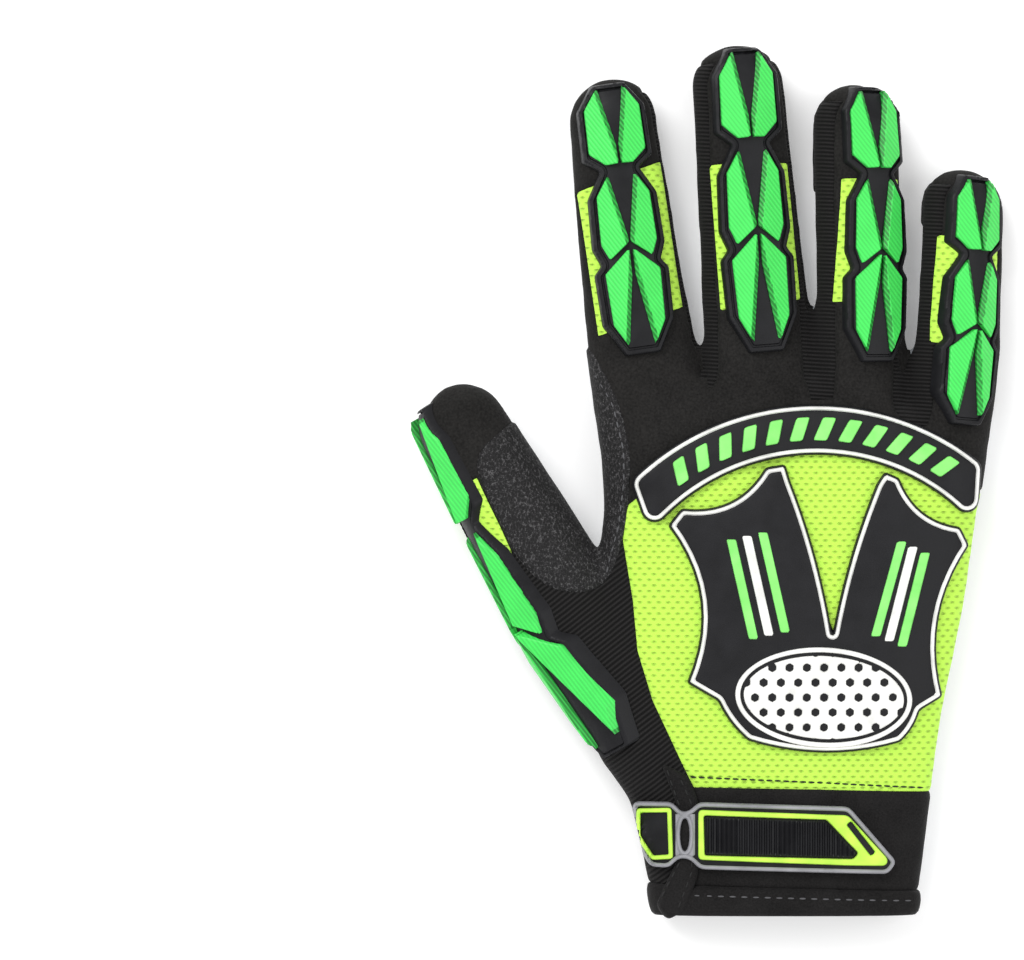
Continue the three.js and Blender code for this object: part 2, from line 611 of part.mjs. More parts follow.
function buildPatches() {
  const skin = layer(GAP, PATCH);
  for (const { name, edge } of TIP_PATCHES) {
    const region = fingerRegion(name, [...edge, [edge[1][0], FAR], [edge[0][0], FAR]], -FAR, TIP_PATCH_RISE);
    add(`${name}_tip_patch`, skin.intersect(region(0)), 'grip');
  }
  const thumbPad = onDigit('thumb', THUMB_PATCH, -FAR, THUMB_PATCH_RISE, 0);
  add('thumb_tip_patch', skin.intersect(thumbPad(0)), 'grip');
  const crotch = plan(THUMB_CROTCH, CROTCH_TURN, FAR)(0).add(plan(CROTCH_STRIP, -FAR, CROTCH_TURN)(0));
  const insert = insertRegion('thumb');
  add('thumb_crotch_patch', skin.intersect(crotch).subtract(thumbPad(GAP)).subtract(insert(GAP)), 'grip');
  const heel = ellipse(HEEL).slice(0, HEEL.steps / 2 + 1);
  const flats = {
    upper_palm_patch: UPPER_PALM, lower_palm_patch: LOWER_PALM, thenar_patch: THENAR, heel_patch: heel,
  };
  for (const [name, outline] of Object.entries(flats)) {
    add(name, skin.intersect(plan(outline, -FAR, PALM_PATCH_TOP)(0)), 'grip');
  }
}

// Finger and thumb guards with their mesh inserts

function guardPoint({ guard }, { along, half }, side) {
  const [base, middle, tip] = guard.shift;
  const shift = along > 0.5
    ? THREE.MathUtils.lerp(base, middle, 2 * (1 - along))
    : THREE.MathUtils.lerp(tip, middle, 2 * along);
  return [side * half * guard.half + shift, guard.from + guard.length * (1 - along)];
}

// Height of a section above its own middle, at a distance to one side of it
function surfaceHeight(section, sideways) {
  const widest = Math.max(...section.map(({ x }) => x)) * FACET_REACH;
  const x = THREE.MathUtils.clamp(sideways, -widest, widest);
  const heights = section.map((point, i) => {
    const next = section[(i + 1) % section.length];
    const share = (x - point.x) / (next.x - point.x);
    return share >= 0 && share <= 1 ? THREE.MathUtils.lerp(point.z, next.z, share) : -FAR;
  });
  return Math.max(...heights);
}

function facetSolid(digit, corners, side) {
  const lean = digit.guard.roll;
  const { matrix, length } = digitFrame(digit, lean);
  const outline = corners.map((corner) => {
    const wider = { along: corner.along, half: corner.half * digit.guard.spread };
    const [x, y] = guardPoint(digit, wider, side);
    const { halfWidth, halfDepth, offset } = digitSection(digit, length, y, FACET_AT);
    const upright = superellipse(SURFACE_SIDES, DIGIT_SQUARE, halfWidth, halfDepth);
    const surface = surfaceHeight(turned(upright, lean - digit.roll + digit.turn), x - offset);
    const outwards = Math.min(Math.abs(corner.half) / FACET_EDGE, 1);
    const rise = THREE.MathUtils.lerp(FACET_HIGH, FACET_LOW, outwards);
    return new THREE.Vector3(x, y, surface + rise);
  });
  if (THREE.ShapeUtils.isClockWise(outline)) {
    outline.reverse();
  }
  const flat = outline.map((point) => new THREE.Vector2(point.x, point.y));
  const triangles = THREE.ShapeUtils.triangulateShape(flat, []);
  const count = outline.length;
  const positions = [...outline, ...flat.map(({ x, y }) => new THREE.Vector3(x, y, 0))];
  const index = [];
  for (const [a, b, c] of triangles) {
    index.push(a, b, c, a + count, c + count, b + count);
  }
  for (let i = 0; i < count; i += 1) {
    const next = (i + 1) % count;
    index.push(i, i + count, next, next, i + count, next + count);
  }
  const geometry = new THREE.BufferGeometry().setFromPoints(positions).setIndex(index);
  return toSolid(geometry).transform(matrix.elements);
}

function buildGuards() {
  const insertSkin = layer(GAP, INSERT);
  const above = prism(box(-FAR, -FAR, FAR, FAR), GUARD_LOW, FAR);
  const guardSkin = layer(GUARD_AT, GUARD).intersect(above);
  const underFacets = body(FACET_AT);
  for (const [name, digit] of Object.entries(DIGITS)) {
    add(`${name}_mesh_insert`, insertSkin.intersect(insertRegion(name)(0)), 'mesh_yellow');

    const right = GUARD_OUTLINE.map((corner) => guardPoint(digit, corner, 1));
    const left = GUARD_OUTLINE.toReversed().map((corner) => guardPoint(digit, corner, -1));
    const guard = onDigit(name, [...right, ...left], 0, FAR, digit.guard.roll);
    add(`${name}_guard`, guardSkin.intersect(guard(0)), 'guard_rubber');

    for (const [place, corners] of Object.entries(FACETS)) {
      const pair = facetSolid(digit, corners, 1).add(facetSolid(digit, corners, -1));
      add(`${name}_${place}_facets`, pair.subtract(underFacets).intersect(above), 'facet_green');
    }
  }
}

// Pads on the back of the hand

function buildPads() {
  const padSkin = layer(GAP, PAD);
  const stripeSkin = layer(STRIPE_AT, STRIPE);
  add('knuckle_arch', padSkin.intersect(prism(archOutline(ARCH), PAD_LOW, FAR)), 'pad_rubber');
  add('back_pad', padSkin.intersect(prism(bentOutline(BACK_PAD), PAD_LOW, FAR)), 'pad_rubber');
  for (const { name, top, foot } of STRIPES) {
    const half = STRIPE_WIDTH / 2;
    const leftEdge = [[top[0] - half, top[1]], [foot[0] - half, foot[1]]];
    const rightEdge = [[foot[0] + half, foot[1]], [top[0] + half, top[1]]];
    const outline = [...leftEdge, ...rightEdge];
    const material = name.includes('middle') ? 'stripe_white' : 'stripe_green';
    add(name, stripeSkin.intersect(prism(outline, SPLIT_Z, FAR)), material);
  }
  const inside = prism(ellipse(EMBLEM, -EMBLEM.ring), 0, FAR + 1);
  const ring = prism(ellipse(EMBLEM), SPLIT_Z, FAR).subtract(inside);
  add('oval_emblem', stripeSkin.intersect(ring), 'stripe_white');
}

// Wrist flap, strap and closure tab

function frameOf(outline) {
  return prism(outline, TAB_BOTTOM, FAR).subtract(prism(grown(outline, -TAB_FRAME_WIDTH), 0, FAR + 1));
}

function buildClosure() {
  const flap = plan(WRIST_FLAP, TAB_BOTTOM, FAR);
  add('wrist_flap', layer(GAP + HEM_PROUD, FLAP, WRIST_END - TAIL).intersect(flap(0)), 'knit');

  const strap = layer(GAP, STRAP).intersect(prism(grown(TAB_OUTLINE, -1), TAB_BOTTOM, FAR));
  const besideFlap = plan(box(-FAR, -FAR, WRIST_FLAP[3][0], FAR), -FAR, FAR);
  add('closure_strap', strap.subtract(besideFlap(GAP)), 'neoprene');

  const outline = prism(TAB_OUTLINE, TAB_BOTTOM, FAR).subtract(prism(TAB_SLOT, 0, FAR + 1));
  const frames = frameOf(TAB_SMALL_FRAME).add(frameOf(TAB_LARGE_FRAME));
  const sheet = layer(TAB_AT, TAB).intersect(outline);
  add('closure_tab', sheet.add(layer(TAB_AT, TAB + TAB_FRAME).intersect(frames)), 'tab_rubber');
  const grip = layer(TAB_FRAME_AT + GAP, TAB_FRAME).intersect(prism(TAB_GRIP, TAB_BOTTOM, FAR));
  add('closure_grip', grip, 'guard_rubber');
}

buildCloth();
buildPatches();
buildGuards();
buildPads();
buildClosure();

const glove = new THREE.Group();
glove.name = 'impact_glove';
const finishes = Object.fromEntries(
  Object.entries(MATERIALS).map(([name, look]) => [name, new THREE.MeshStandardMaterial(look)]),
);
for (const [name, { solid, material }] of parts) {
  const mesh = new THREE.Mesh(toGeometry(solid), finishes[material]);
  mesh.name = name;
  glove.add(mesh);
}

export default glove;
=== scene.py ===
"""Impact glove: the looks of a right-hand glove that lies on its palm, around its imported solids.

Pieces are made in millimetres, in the same frame as the solids, and shrunk to metres at the end:
+Y along the fingers, +X from the thumb towards the little finger, +Z up through the back of the hand.
"""

import math

import bpy
import numpy as np
from mathutils import Matrix, Vector, noise
from mathutils.bvhtree import BVHTree
from mathutils.kdtree import KDTree


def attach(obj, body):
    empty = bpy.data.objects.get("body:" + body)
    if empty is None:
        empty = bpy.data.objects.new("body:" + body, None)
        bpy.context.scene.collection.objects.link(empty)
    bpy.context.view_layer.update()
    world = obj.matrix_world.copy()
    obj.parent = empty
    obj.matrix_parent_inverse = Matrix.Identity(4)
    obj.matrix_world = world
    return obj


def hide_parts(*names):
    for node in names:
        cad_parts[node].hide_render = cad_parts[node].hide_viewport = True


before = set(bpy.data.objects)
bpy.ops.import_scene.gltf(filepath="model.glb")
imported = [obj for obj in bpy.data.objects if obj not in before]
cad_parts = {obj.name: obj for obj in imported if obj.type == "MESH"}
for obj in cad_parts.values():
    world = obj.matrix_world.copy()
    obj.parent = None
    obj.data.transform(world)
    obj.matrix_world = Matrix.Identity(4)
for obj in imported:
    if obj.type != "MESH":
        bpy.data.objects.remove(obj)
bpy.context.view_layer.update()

MM = 0.001
FAR = 200.0
SNAP = 0.02

# Cloth of the hand
WALL = 1.6
GAP = 0.3
FLOOR = 0.9
SPLIT_Z = 9.0
VOXEL = 1.08
ROUNDING = 14
NORMAL_ROUNDING = 4
SEAM_DEPTH = 0.55
SEAM_WIDTH = 1.7
WRIST_END = -123.6
INSERT_SEAM = 0.25
HEM_BULGE = 1.1
HEM_INSIDE = 0.4
HEM_LOW = 0.1

# Folds of the cloth, and where it gathers between thumb and wrist
SLOW_FOLD = 0.42
FINE_FOLD = 0.14
GATHERED = [(-30, -30), (-50, -42), (-10, -95), (-2, -88)]
GATHER_REACH = 12
GATHER_HEIGHT = 0.3
REST_BLEND = 2.5

# Heights above the cloth
PATCH = 0.65
PATCH_BED = 0.2
PATCH_SEAM = 0.6
PATCH_SEAM_WIDTH = 1.0
GUARD_RIM = 2.1
GUARD_GROOVE = 1.35
GUARD_FACE = 1.75
FACET_EDGE = 2.3
FACET_RIDGE = 3.9
PAD = 2.3
STRIPE_TOP = 2.95
TAB_TOP = 3.7

# Palm, back of the hand and cuff: one row per cross-section, with its place along +Y and its left
# side, right side and top
PALM_SQUARE = 2.7
PALM_BOTTOM = -1.2
PALM = [
    (28.4, -31.5, 54.5, 19.5),
    (20.5, -31.5, 57.5, 22.5),
    (17.0, -31.2, 79.2, 23.5),
    (-6.0, -29.8, 76.6, 25.5),
    (-36.0, -32.0, 72.4, 24.4),
    (-68.0, -36.0, 65.9, 22.6),
    (-80.0, -31.0, 64.0, 22.0),
    (-91.0, -23.0, 62.8, 21.6),
    (-108.0, -19.0, 61.0, 21.6),
    (-123.6, -16.0, 59.0, 21.4),
    (-136.0, -16.0, 59.0, 21.4),
]

# Fingers and thumb. A guard has its start, length and half width along the digit, its own roll, and
# the sideways shift of its middle line at its base, its middle and its tip. spread widens its facets,
# and rim narrows its raised edge where the digit's side falls away from it. What a row leaves out
# comes from DIGIT_COMMON, and its guard then has the digit's own roll.
DIGIT_SQUARE = 2.2
DIGIT_COMMON = {"turn": 0, "middle": 0.45, "spread": 1, "rim": 1}
DIGITS = {
    "index": {
        "root": (-12.6, 0), "tip": (-28.8, 115.4), "roll": 6, "bow": -1.6, "cap": 11.4,
        "wide": (17.0, 14.9, 12.2), "deep": (11.2, 9.8, 8.2), "top": (23.5, 17.6),
        "guard": (36.5, 78, 10.5), "shift": (-2.6, -2.0, -1.5), "seam": 3.5,
        "insert": [(-14.2, 43.5), (-14.2, 85), (11, 90.5), (11.3, 48.5)],
    },
    "middle": {
        "root": (17.3, 0), "tip": (7.0, 124.8), "roll": 11, "bow": 0, "cap": 11.4,
        "wide": (17.2, 15.2, 13.0), "deep": (11.2, 9.8, 8.4), "top": (24.0, 18.0),
        "guard": (36.5, 87.5, 10.4), "shift": (-0.5, -0.3, 0.8), "seam": 5.5,
        "insert": [(-12, 49.5), (-11.5, 91), (11.6, 90), (11.8, 51)],
    },
    "ring": {
        "root": (43.4, 0), "tip": (41.2, 113.6), "roll": 24, "bow": 0.8, "cap": 11.4,
        "wide": (13.2, 13.3, 12.8), "deep": (10.8, 9.6, 8.2), "top": (23.8, 18.8),
        "guard": (33.6, 79, 9.9), "shift": (0.3, 2.4, 1.4), "seam": 5.5,
        "insert": [(-10.8, 51), (-8, 86), (11, 86), (11, 51)],
    },
    "little": {
        "root": (66.5, -4), "tip": (72.5, 89.4), "roll": 33, "bow": 1.7, "cap": 10.6,
        "wide": (11.0, 13.4, 12.9), "deep": (9.8, 9.6, 8.0), "top": (22.4, 18.8),
        "guard": (20.0, 71.5, 9.3), "shift": (-1.2, -0.2, -0.6), "seam": 5.0,
        "insert": [(-10.6, 43), (-10.6, 73.5), (9, 73.5), (9, 43)],
    },
    "thumb": {
        "root": (-17.1, -76.7), "tip": (-76.0, 27.0), "roll": -45, "turn": -45, "bow": 0, "cap": 12,
        "wide": (11.5, 15.5, 11.3), "deep": (9.6, 10.6, 9.7), "top": (21.0, 20.6), "middle": 0.35,
        "guard": (4.5, 112.5, 9), "guard_roll": -64, "shift": (4, -3.4, -2.7), "seam": 0,
        "insert": [(-10, 68), (-10, 90), (6.4, 92), (5.2, 68)], "spread": 1.16, "rim": 0.6,
    },
}
for digit_row in DIGITS.values():
    for part, value in {**DIGIT_COMMON, "guard_roll": digit_row["roll"]}.items():
        digit_row.setdefault(part, value)
FINGERS = ("index", "middle", "ring", "little")
BODY_RINGS = 40
CAP_DEGREES = 6

# Finger guard: distance down from its tip and half width, both as shares
GUARD_OUTLINE = [
    (0, 0.45), (0.093, 0.93), (0.278, 0.96), (0.321, 0.54), (0.416, 0.95),
    (0.6, 1.0), (0.662, 0.82), (0.693, 1.02), (0.881, 0.98), (1, 0.48),
]
FACETS = {
    "tip": [(0.015, 0.35), (0.092, 0.75), (0.253, 0.77), (0.3, 0.37), (0.298, 0.04), (0.227, 0.04)],
    "middle": [(0.335, 0.35), (0.412, 0.72), (0.588, 0.76), (0.645, 0.58), (0.588, 0.03), (0.572, 0.03)],
    "base": [(0.612, 0.05), (0.695, 0.75), (0.884, 0.7), (0.97, 0.35), (0.71, 0.05)],
}

# Which edge of each facet slopes down, how wide and deep that slope is, and the facets' least heights
# above the guard's face and groove
INNER_EDGES = {"tip": 5, "middle": 5, "base": 3}
FACET_BEVEL = 1.3
FACET_DROP = 1.5
FACET_CLEAR = 0.25
FACET_FOOT = 0.1

# How far a guard may wrap round its digit, as a share of the half width there, and the share of its
# length past which that width is no longer read
GUARD_WRAP = 0.92
GUARD_LAST_SIZE = 0.93

# Knuckle arch and back pad
ARCH = {"x": 29.8, "y": -53, "inner": 60.5, "outer": 75, "right": (45, 49), "left": (138.5, 136)}
ARCH_ROUND = 4.0
ARCH_STEPS = 48
ARCH_BARS = {"radius": 67.9, "first": 124.5, "last": 57.5, "count": 12, "half": (1.9, 3.3), "slant": 1.3}
BACK_PAD = [
    (-8.4, -7.6, 0), (-12.3, -12.5, -6.6), (-6.9, -57.2, 0), (1.9, -62.3, 0.8), (10.5, -73.6, 3.2),
    (53.8, -74.2, 0.8), (59.5, -65.2, 0), (66.2, -61.3, -5.2), (73.7, -18.2, 0), (70.9, -12.9, -3.4),
    (53.4, 1.0, 0), (49.2, 2.8, 0), (46.9, -0.6, 1.2), (34.4, -43.5, 1.2), (22.5, 0, 0), (21.0, 4.9, 0),
    (15.4, 4.0, -4.4),
]
BEND_STEPS = 10
PIPING = (0.7, 1.8)
PIPING_BED = 0.2
STRIPE_WIDTH = 2.8
STRIPES = [
    ("left_outer_stripe", (5.6, -16.4), (12.0, -44.8)),
    ("left_middle_stripe", (10.0, -15.4), (16.4, -43.8)),
    ("left_inner_stripe", (14.5, -14.4), (21.0, -42.9)),
    ("right_inner_stripe", (54.0, -17.0), (46.6, -44.0)),
    ("right_middle_stripe", (57.2, -18.5), (50.4, -45.4)),
    ("right_outer_stripe", (60.7, -20.2), (54.1, -46.9)),
]
EMBLEM = {"centre": (32, -61.3), "half": (25.2, 14.2), "ring": 1.4, "comb": 2.4, "turn": -3}
EMBLEM_CELL = 4.9
EMBLEM_RIB = 2.7

# Seams of the back, in plan
MESH_LEFT = [
    (-25.4, -8), (-25.2, -16.7), (-22.3, -33.8), (-20.9, -48.1), (-16.6, -62.3), (-8.6, -79.4),
    (-4.9, -87),
]
MESH_TOP = [(FAR, -4), (79, -4), (62, 9), (45, 14.5), (30, 16), (14, 14.5), (-4, 8), (-25.4, -8)]
MESH_FOOT = [(31.3, -87.6), (FAR, -92)]
CUFF_LEFT = [(-4.5, -91), (-5.2, -114.8)]
HEM_TOP = [(-60, -113.5), (FAR, -120.5)]
KNIT_SEAM = [
    (-95, -30), (-57.1, -38.7), (-35.1, -41), (-22, -55.8), (4.2, -88.8), (9.3, -109.4), (9.6, -119),
]

# Gussets between the fingers: the crotch in plan, and heights in each finger's own frame
FOURCHETTES = [
    ("fourchette_index_middle", "index", "middle", (0.8, 28.4)),
    ("fourchette_middle_ring", "middle", "ring", (32.4, 28.4)),
    ("fourchette_ring_little", "ring", "little", (59.4, 20)),
]
FOURCHETTE_LOW = -4.5
FOURCHETTE_RIGHT = 3.5
FOURCHETTE_INSIDE = 6
FOURCHETTE_REACH = 17
FOURCHETTE_TIP = 5
CROTCH_HALF = 3.5
CROTCH_DEPTH = 5
CROTCH_LOW = 5
CROTCH_HIGH = 17
FINGERS_FROM = 24
FINGERS_TO = 140
FINGER_REACH = 20
FINGER_GAPS = [
    [(1, 0), (1, 24), (-3.2, 46), (-10, 100), (-10, FAR)],
    [(32.4, 0), (32.4, 24), (29.8, 44), (27.5, 70), (26.5, FAR)],
    [(56.7, 0), (56.7, 20), (57.2, 44), (57.3, FAR)],
]
INSERT_LOW = 1.5
THUMB_PANEL_FROM = 69
THUMB_PALM_FROM = 46
THUMB_REACH = 19
THUMB_SEAM = -9
FINGER_SEAM = -3

# Patches of the palm side
TIP_EDGES = {
    "index": [(-15, 84.5), (15, 89)],
    "middle": [(-15, 83.5), (15, 83.5)],
    "ring": [(-15, 84), (15, 76)],
    "little": [(-15, 78), (15, 70)],
}
TIP_RISE = -4
THUMB_PATCH_RISE = -3
THUMB_PATCH = [(-9, 103), (-4, 112), (6, 110), (8, 96), (7, 80), (2, 70), (-6, 78), (-9, 90)]
THUMB_CROTCH = [
    (-34.6, 39), (-26, 22.6), (-23, 9), (-22.9, 0), (-24.3, -13.6), (-28.3, -27.8), (-35.1, -32.1),
    (-46, -30.7), (-53.5, -24), (-62, -12), (-67.9, 6.9), (-59.4, 14.6), (-50, 22), (-40, 12), (-37, 39),
]
CROTCH_STRIP = [
    (-40, 39), (-33.6, 38), (-27, 10), (-25.7, -2), (-27, -14), (-32, -18), (-36, -12), (-45, 10),
]
CROTCH_TURN = 8
PALM_PATCH_TOP = 5
PALM_PATCHES = {
    "upper_palm_patch": [
        (-0.3, 44.4), (17.8, 43.2), (20.5, 28), (24, 23.6), (28.2, 25), (28.7, 40.1), (44.6, 40.6),
        (45.5, 28.1), (52, 21), (57.2, 19.4), (60.3, 24), (60.3, 36.9), (77, 36.7), (75.1, -3),
        (66, -30), (46.2, -24.7), (22, -10.5), (8, -1.2), (-0.6, 3.6),
    ],
    "lower_palm_patch": [
        (-4.1, -0.8), (8, -7.6), (26, -19.5), (47.8, -28), (65.6, -59.7), (59.7, -67.8), (42.6, -56.7),
        (33.2, -75.5), (14.8, -77.7), (8.2, -51.2), (16.6, -34.9), (-4.1, -29),
    ],
    "thenar_patch": [(-21, -56.2), (-10.4, -55.8), (0.8, -61.5), (6.7, -69.1), (7.2, -79.3), (3.6, -86.2)],
}
HEEL = {"centre": (40, -112), "half": (15.5, 15.5)}
GRIP_BARS = {"foot": (-27, 3), "head": (-20, 48), "count": 7, "half": (6.2, 1.5), "slant": 24}

# Wrist flap and closure tab
WRIST_FLAP = [
    (-14.2, -80), (-6.6, -83.6), (-3.5, -90.8), (-3.5, -111.4), (-6.9, -121.6), (-12.2, -125.1),
    (-15.8, -120.8), (-9.6, -108), (-9.6, -92),
]
TAB_OUTLINE = [
    (-22.2, -92.6), (-21.2, -91.1), (-10.9, -91.1), (-8.6, -93.7), (-6.4, -93.7), (-3.5, -91.1),
    (39.2, -92.4), (52.9, -108.2), (50.4, -111.6), (-3.2, -110.2), (-6.1, -107.3), (-9.2, -107.1),
    (-11.8, -109.9), (-17.2, -109.6), (-22.2, -101.6),
]
TAB_BRIDGE = [(-10.2, -94.3), (-4.6, -94.3), (-4.6, -106.6), (-10.2, -106.6)]
TAB_SLOT = {"centre": (-7.4, -100.4), "half": (1.25, 4.6)}
TAB_SMALL_FRAME = [(-21.2, -93.0), (-11.2, -92.7), (-10.7, -107.2), (-16.9, -107.7), (-21.2, -101.2)]
TAB_LARGE_FRAME = [
    (-3.6, -93.2), (38.9, -94.8), (50.4, -107.4), (49.7, -109.2), (39, -109), (-3.6, -107.4),
]
TAB_GRIP = [(-2.1, -94.8), (32.7, -96.0), (41.8, -105.5), (40.4, -107.2), (-1.8, -106.2)]
TAB_NOTCH = [(39.7, -96.4), (46.7, -105.3), (45.4, -106.4), (38.4, -97.4)]
TAB_BORDER = 1.25
TAB_BRIDGE_TOP = 3.1
TAB_RECESS = 2.6
TAB_RECESS_BED = 0.5
TAB_FRAME_WIDTH = 1.25
TAB_RIBS = 32
TAB_RIB_HEIGHT = 0.35

# Edges of the moulded pieces: the step of the grid that each is made from, the height of its
# underside, each stop's distance in from the outline and its height, and how many of those stops
# the grid is cut along
EDGES = {
    "guard": {"step": 0.63, "bed": 0.1, "cuts": 6, "stops": [
        (0, 0.5), (0.25, GUARD_RIM - 0.25), (0.5, GUARD_RIM), (1.35, GUARD_RIM), (1.6, GUARD_GROOVE),
        (2.0, GUARD_GROOVE), (2.25, GUARD_FACE),
    ]},
    "facet": {"step": 0.66, "bed": GUARD_GROOVE - 0.1, "cuts": 1, "stops": [(0, 0.25), (0.25, 0)]},
    "pad": {"step": 0.8, "bed": 0.15, "cuts": 6, "stops": [
        (0, 0.6), (0.3, PAD - 0.35), (0.7, PAD - 0.15), (1.0, PAD + 0.45), (1.4, PAD + 0.45),
        (1.8, PAD - 0.15), (2.4, PAD), (12, PAD + 0.5),
    ]},
    "bar": {"step": 0.6, "bed": PAD - 0.3, "cuts": 2, "stops": [
        (0, STRIPE_TOP - 0.3), (0.2, STRIPE_TOP + 0.15), (0.45, STRIPE_TOP + 0.25),
    ]},
    "emblem": {"step": 0.5, "bed": PAD - 0.2, "cuts": 1, "stops": [
        (0, STRIPE_TOP - 0.2), (0.2, STRIPE_TOP + 0.2), (0.6, STRIPE_TOP + 0.35),
    ]},
    "flap": {"step": 0.7, "bed": 0.3, "cuts": 2, "stops": [(0, 0.9), (0.4, 1.5), (1.0, 1.9), (3, 2.1)]},
    "tab": {"step": 0.55, "bed": 0.4, "cuts": 4, "stops": [
        (0, 1.6), (0.25, 3.1), (0.5, 3.35), (0.9, 3.35), (TAB_BORDER, 2.9),
    ]},
    "frame": {"step": 0.45, "bed": 2.4, "cuts": 1, "stops": [
        (0, 3.0), (0.25, TAB_TOP - 0.15), (0.6, TAB_TOP),
    ]},
    "grip": {"step": 0.35, "bed": 2.5, "cuts": 1, "stops": [(0, 2.9), (0.25, 3.2)]},
    "print": {"step": 0.6, "bed": -0.2, "cuts": 1, "stops": [(0, 0.1), (0.2, 0.35)]},
}

# How grids are dropped onto the hand: the plan's frame, the height to start from in each kind of
# frame, the room around an outline, and the least that a slope may face up
PLAN = Matrix.Identity(4)
PLAN_START = 60.0
DIGIT_START = 15.0
UNDER_START = 40.0
AREA_MARGIN = 0.5
LEAST_FACING = 0.55

# Rows of stitches: the thread's look, the gap between stitches, and lines in plan, each with its lift
# and whether it is on the palm side
STITCH_LENGTH = 2.1
STITCH_HALF_WIDTH = 0.26
HEM_LINE = [(-8, -117.6), (59.5, -119.4)]
STITCHES = {
    "mesh_stitches": ("dark_thread", 0.3, [([(-6.0, -84.0), (31.3, -85.6), (63.7, -87.4)], 0.15, False)]),
    "hem_stitches": ("grey_thread", 1.2, [(HEM_LINE, 1.0, False), (HEM_LINE, 1.0, True)]),
    "flap_stitches": ("dark_thread", 0.9, [
        ([(-12.2, -81.6), (-8.6, -92), (-8.4, -108), (-13.6, -119.6)], 2.0, False),
        ([(-8.4, -84.4), (-5.2, -91.4), (-5.0, -110.8), (-8.6, -121.2)], 2.0, False),
    ]),
    "web_stitches": ("grey_thread", 0.9, [(
        [(-35.4, 36), (-27.6, 22), (-24.6, 9), (-24.4, 0), (-25.9, -13), (-29.4, -26.4)], PATCH, False,
    )]),
}

# Camera: straight above the middle of the picture, far off with a long lens
VIEW_CENTRE = (-56.5, 0.4)
VIEW_WIDTH = 291.8
VIEW_HEIGHT = 2000.0
MEAN_HEIGHT = 16.0
SENSOR = 36.0

# Floor in metres, just under the glove
FLOOR_HALF = 1.5
FLOOR_HEIGHT = -0.00005
FLOOR_GLOW = 0.2

# Studio light: each lamp's place in metres, width and power
WORLD_LIGHT = 0.64
LAMPS = [
    ("key", (-0.7, 0.9, 1.3), 1.0, 20.0),
    ("fill", (0.9, -0.2, 1.1), 1.2, 7.5),
    ("low", (-0.2, -1.3, 0.7), 0.9, 4.5),
]


def edges_of(triangles):
    return np.concatenate([triangles[:, pair] for pair in ((0, 1), (1, 2), (2, 0))])


class Sheet(dict):
    """Named arrays over the points of an open triangle sheet, with its triangles."""

    def __init__(self, triangles, **columns):
        super().__init__(columns)
        self.triangles = triangles

    def split(self, name, level=0.0):
        """Cuts every triangle that the line name = level crosses along that line."""
        values = self[name] - level
        values[np.abs(values) < SNAP] = 0
        side = np.sign(values)
        corner_sides = side[self.triangles]
        crossed = (corner_sides.min(1) < 0) & (corner_sides.max(1) > 0)
        cuts = {}
        pieces = []
        for triangle in self.triangles[crossed]:
            ring = []
            for first, second in zip(triangle, np.roll(triangle, -1)):
                ring.append((first, side[first]))
                if side[first] * side[second] < 0:
                    edge = (min(first, second), max(first, second))
                    ring.append((cuts.setdefault(edge, len(values) + len(cuts)), 0))
            for half in (-1, 1):
                part = [point for point, where in ring if where * half >= 0]
                pieces += [(part[0], part[i], part[i + 1]) for i in range(1, len(part) - 1)]
        if not cuts:
            return self
        edges = np.array(list(cuts))
        start, end = values[edges[:, 0]], values[edges[:, 1]]
        share = start / (start - end)
        columns = {}
        for key, column in self.items():
            weight = share[:, None] if column.ndim == 2 else share
            between = column[edges[:, 0]] * (1 - weight) + column[edges[:, 1]] * weight
            columns[key] = np.concatenate([column, between])
        columns[name][len(values):] = level
        triangles = np.concatenate([self.triangles[~crossed], np.array(pieces, int)])
        return Sheet(triangles, **columns)

    def only(self, chosen):
        """The triangles that are chosen, with just the points that they use."""
        triangles = self.triangles[chosen]
        used, places = np.unique(triangles, return_inverse=True)
        columns = {key: column[used] for key, column in self.items()}
        return Sheet(places.reshape(-1, 3), **columns)

    def mean(self, name):
        return self[name][self.triangles].mean(1)

    def carve(self, field):
        """Two sheets: where the field is below zero, and the rest."""
        marked = Sheet(self.triangles, **{**self, "field": field}).split("field")
        inside = marked.mean("field") < 0
        return marked.only(inside), marked.only(~inside)

    def rim(self):
        """Edges that only one triangle uses, in that triangle's direction."""
        edges = edges_of(self.triangles)
        size = len(self["at"])
        codes = edges[:, 0] * size + edges[:, 1]
        back = edges[:, 1] * size + edges[:, 0]
        return edges[~np.isin(codes, back)]

    def closed(self, top, bottom):
        """Points and triangles of the closed shell between two copies of the sheet."""
        count = len(top)
        start, end = self.rim().T
        walls = [np.stack([start, start + count, end], 1), np.stack([end, start + count, end + count], 1)]
        under = self.triangles[:, ::-1] + count
        return np.concatenate([top, bottom]), np.concatenate([self.triangles, under, *walls])


def polygon_distance(points, outline):
    """Signed distance in plan from each point to a closed outline, below zero inside."""
    outline = np.asarray(outline, float)
    best = np.full(len(points), np.inf)
    inside = np.zeros(len(points), bool)
    for start, end in zip(outline, np.roll(outline, -1, axis=0)):
        edge = end - start
        away = points - start
        share = np.clip(away @ edge / max(edge @ edge, 1e-9), 0, 1)
        best = np.minimum(best, ((away - share[:, None] * edge) ** 2).sum(1))
        if start[1] != end[1]:
            spans = (start[1] > points[:, 1]) != (end[1] > points[:, 1])
            inside ^= spans & (points[:, 0] < start[0] + away[:, 1] * edge[0] / edge[1])
    return np.where(inside, -1, 1) * np.sqrt(best)


def smoothstep(values, low, high):
    """Eases from 0 at low to 1 at high."""
    share = np.clip((values - low) / (high - low), 0, 1)
    return share * share * (3 - 2 * share)


def box(left, back, right, front):
    return [(left, back), (right, back), (right, front), (left, front)]


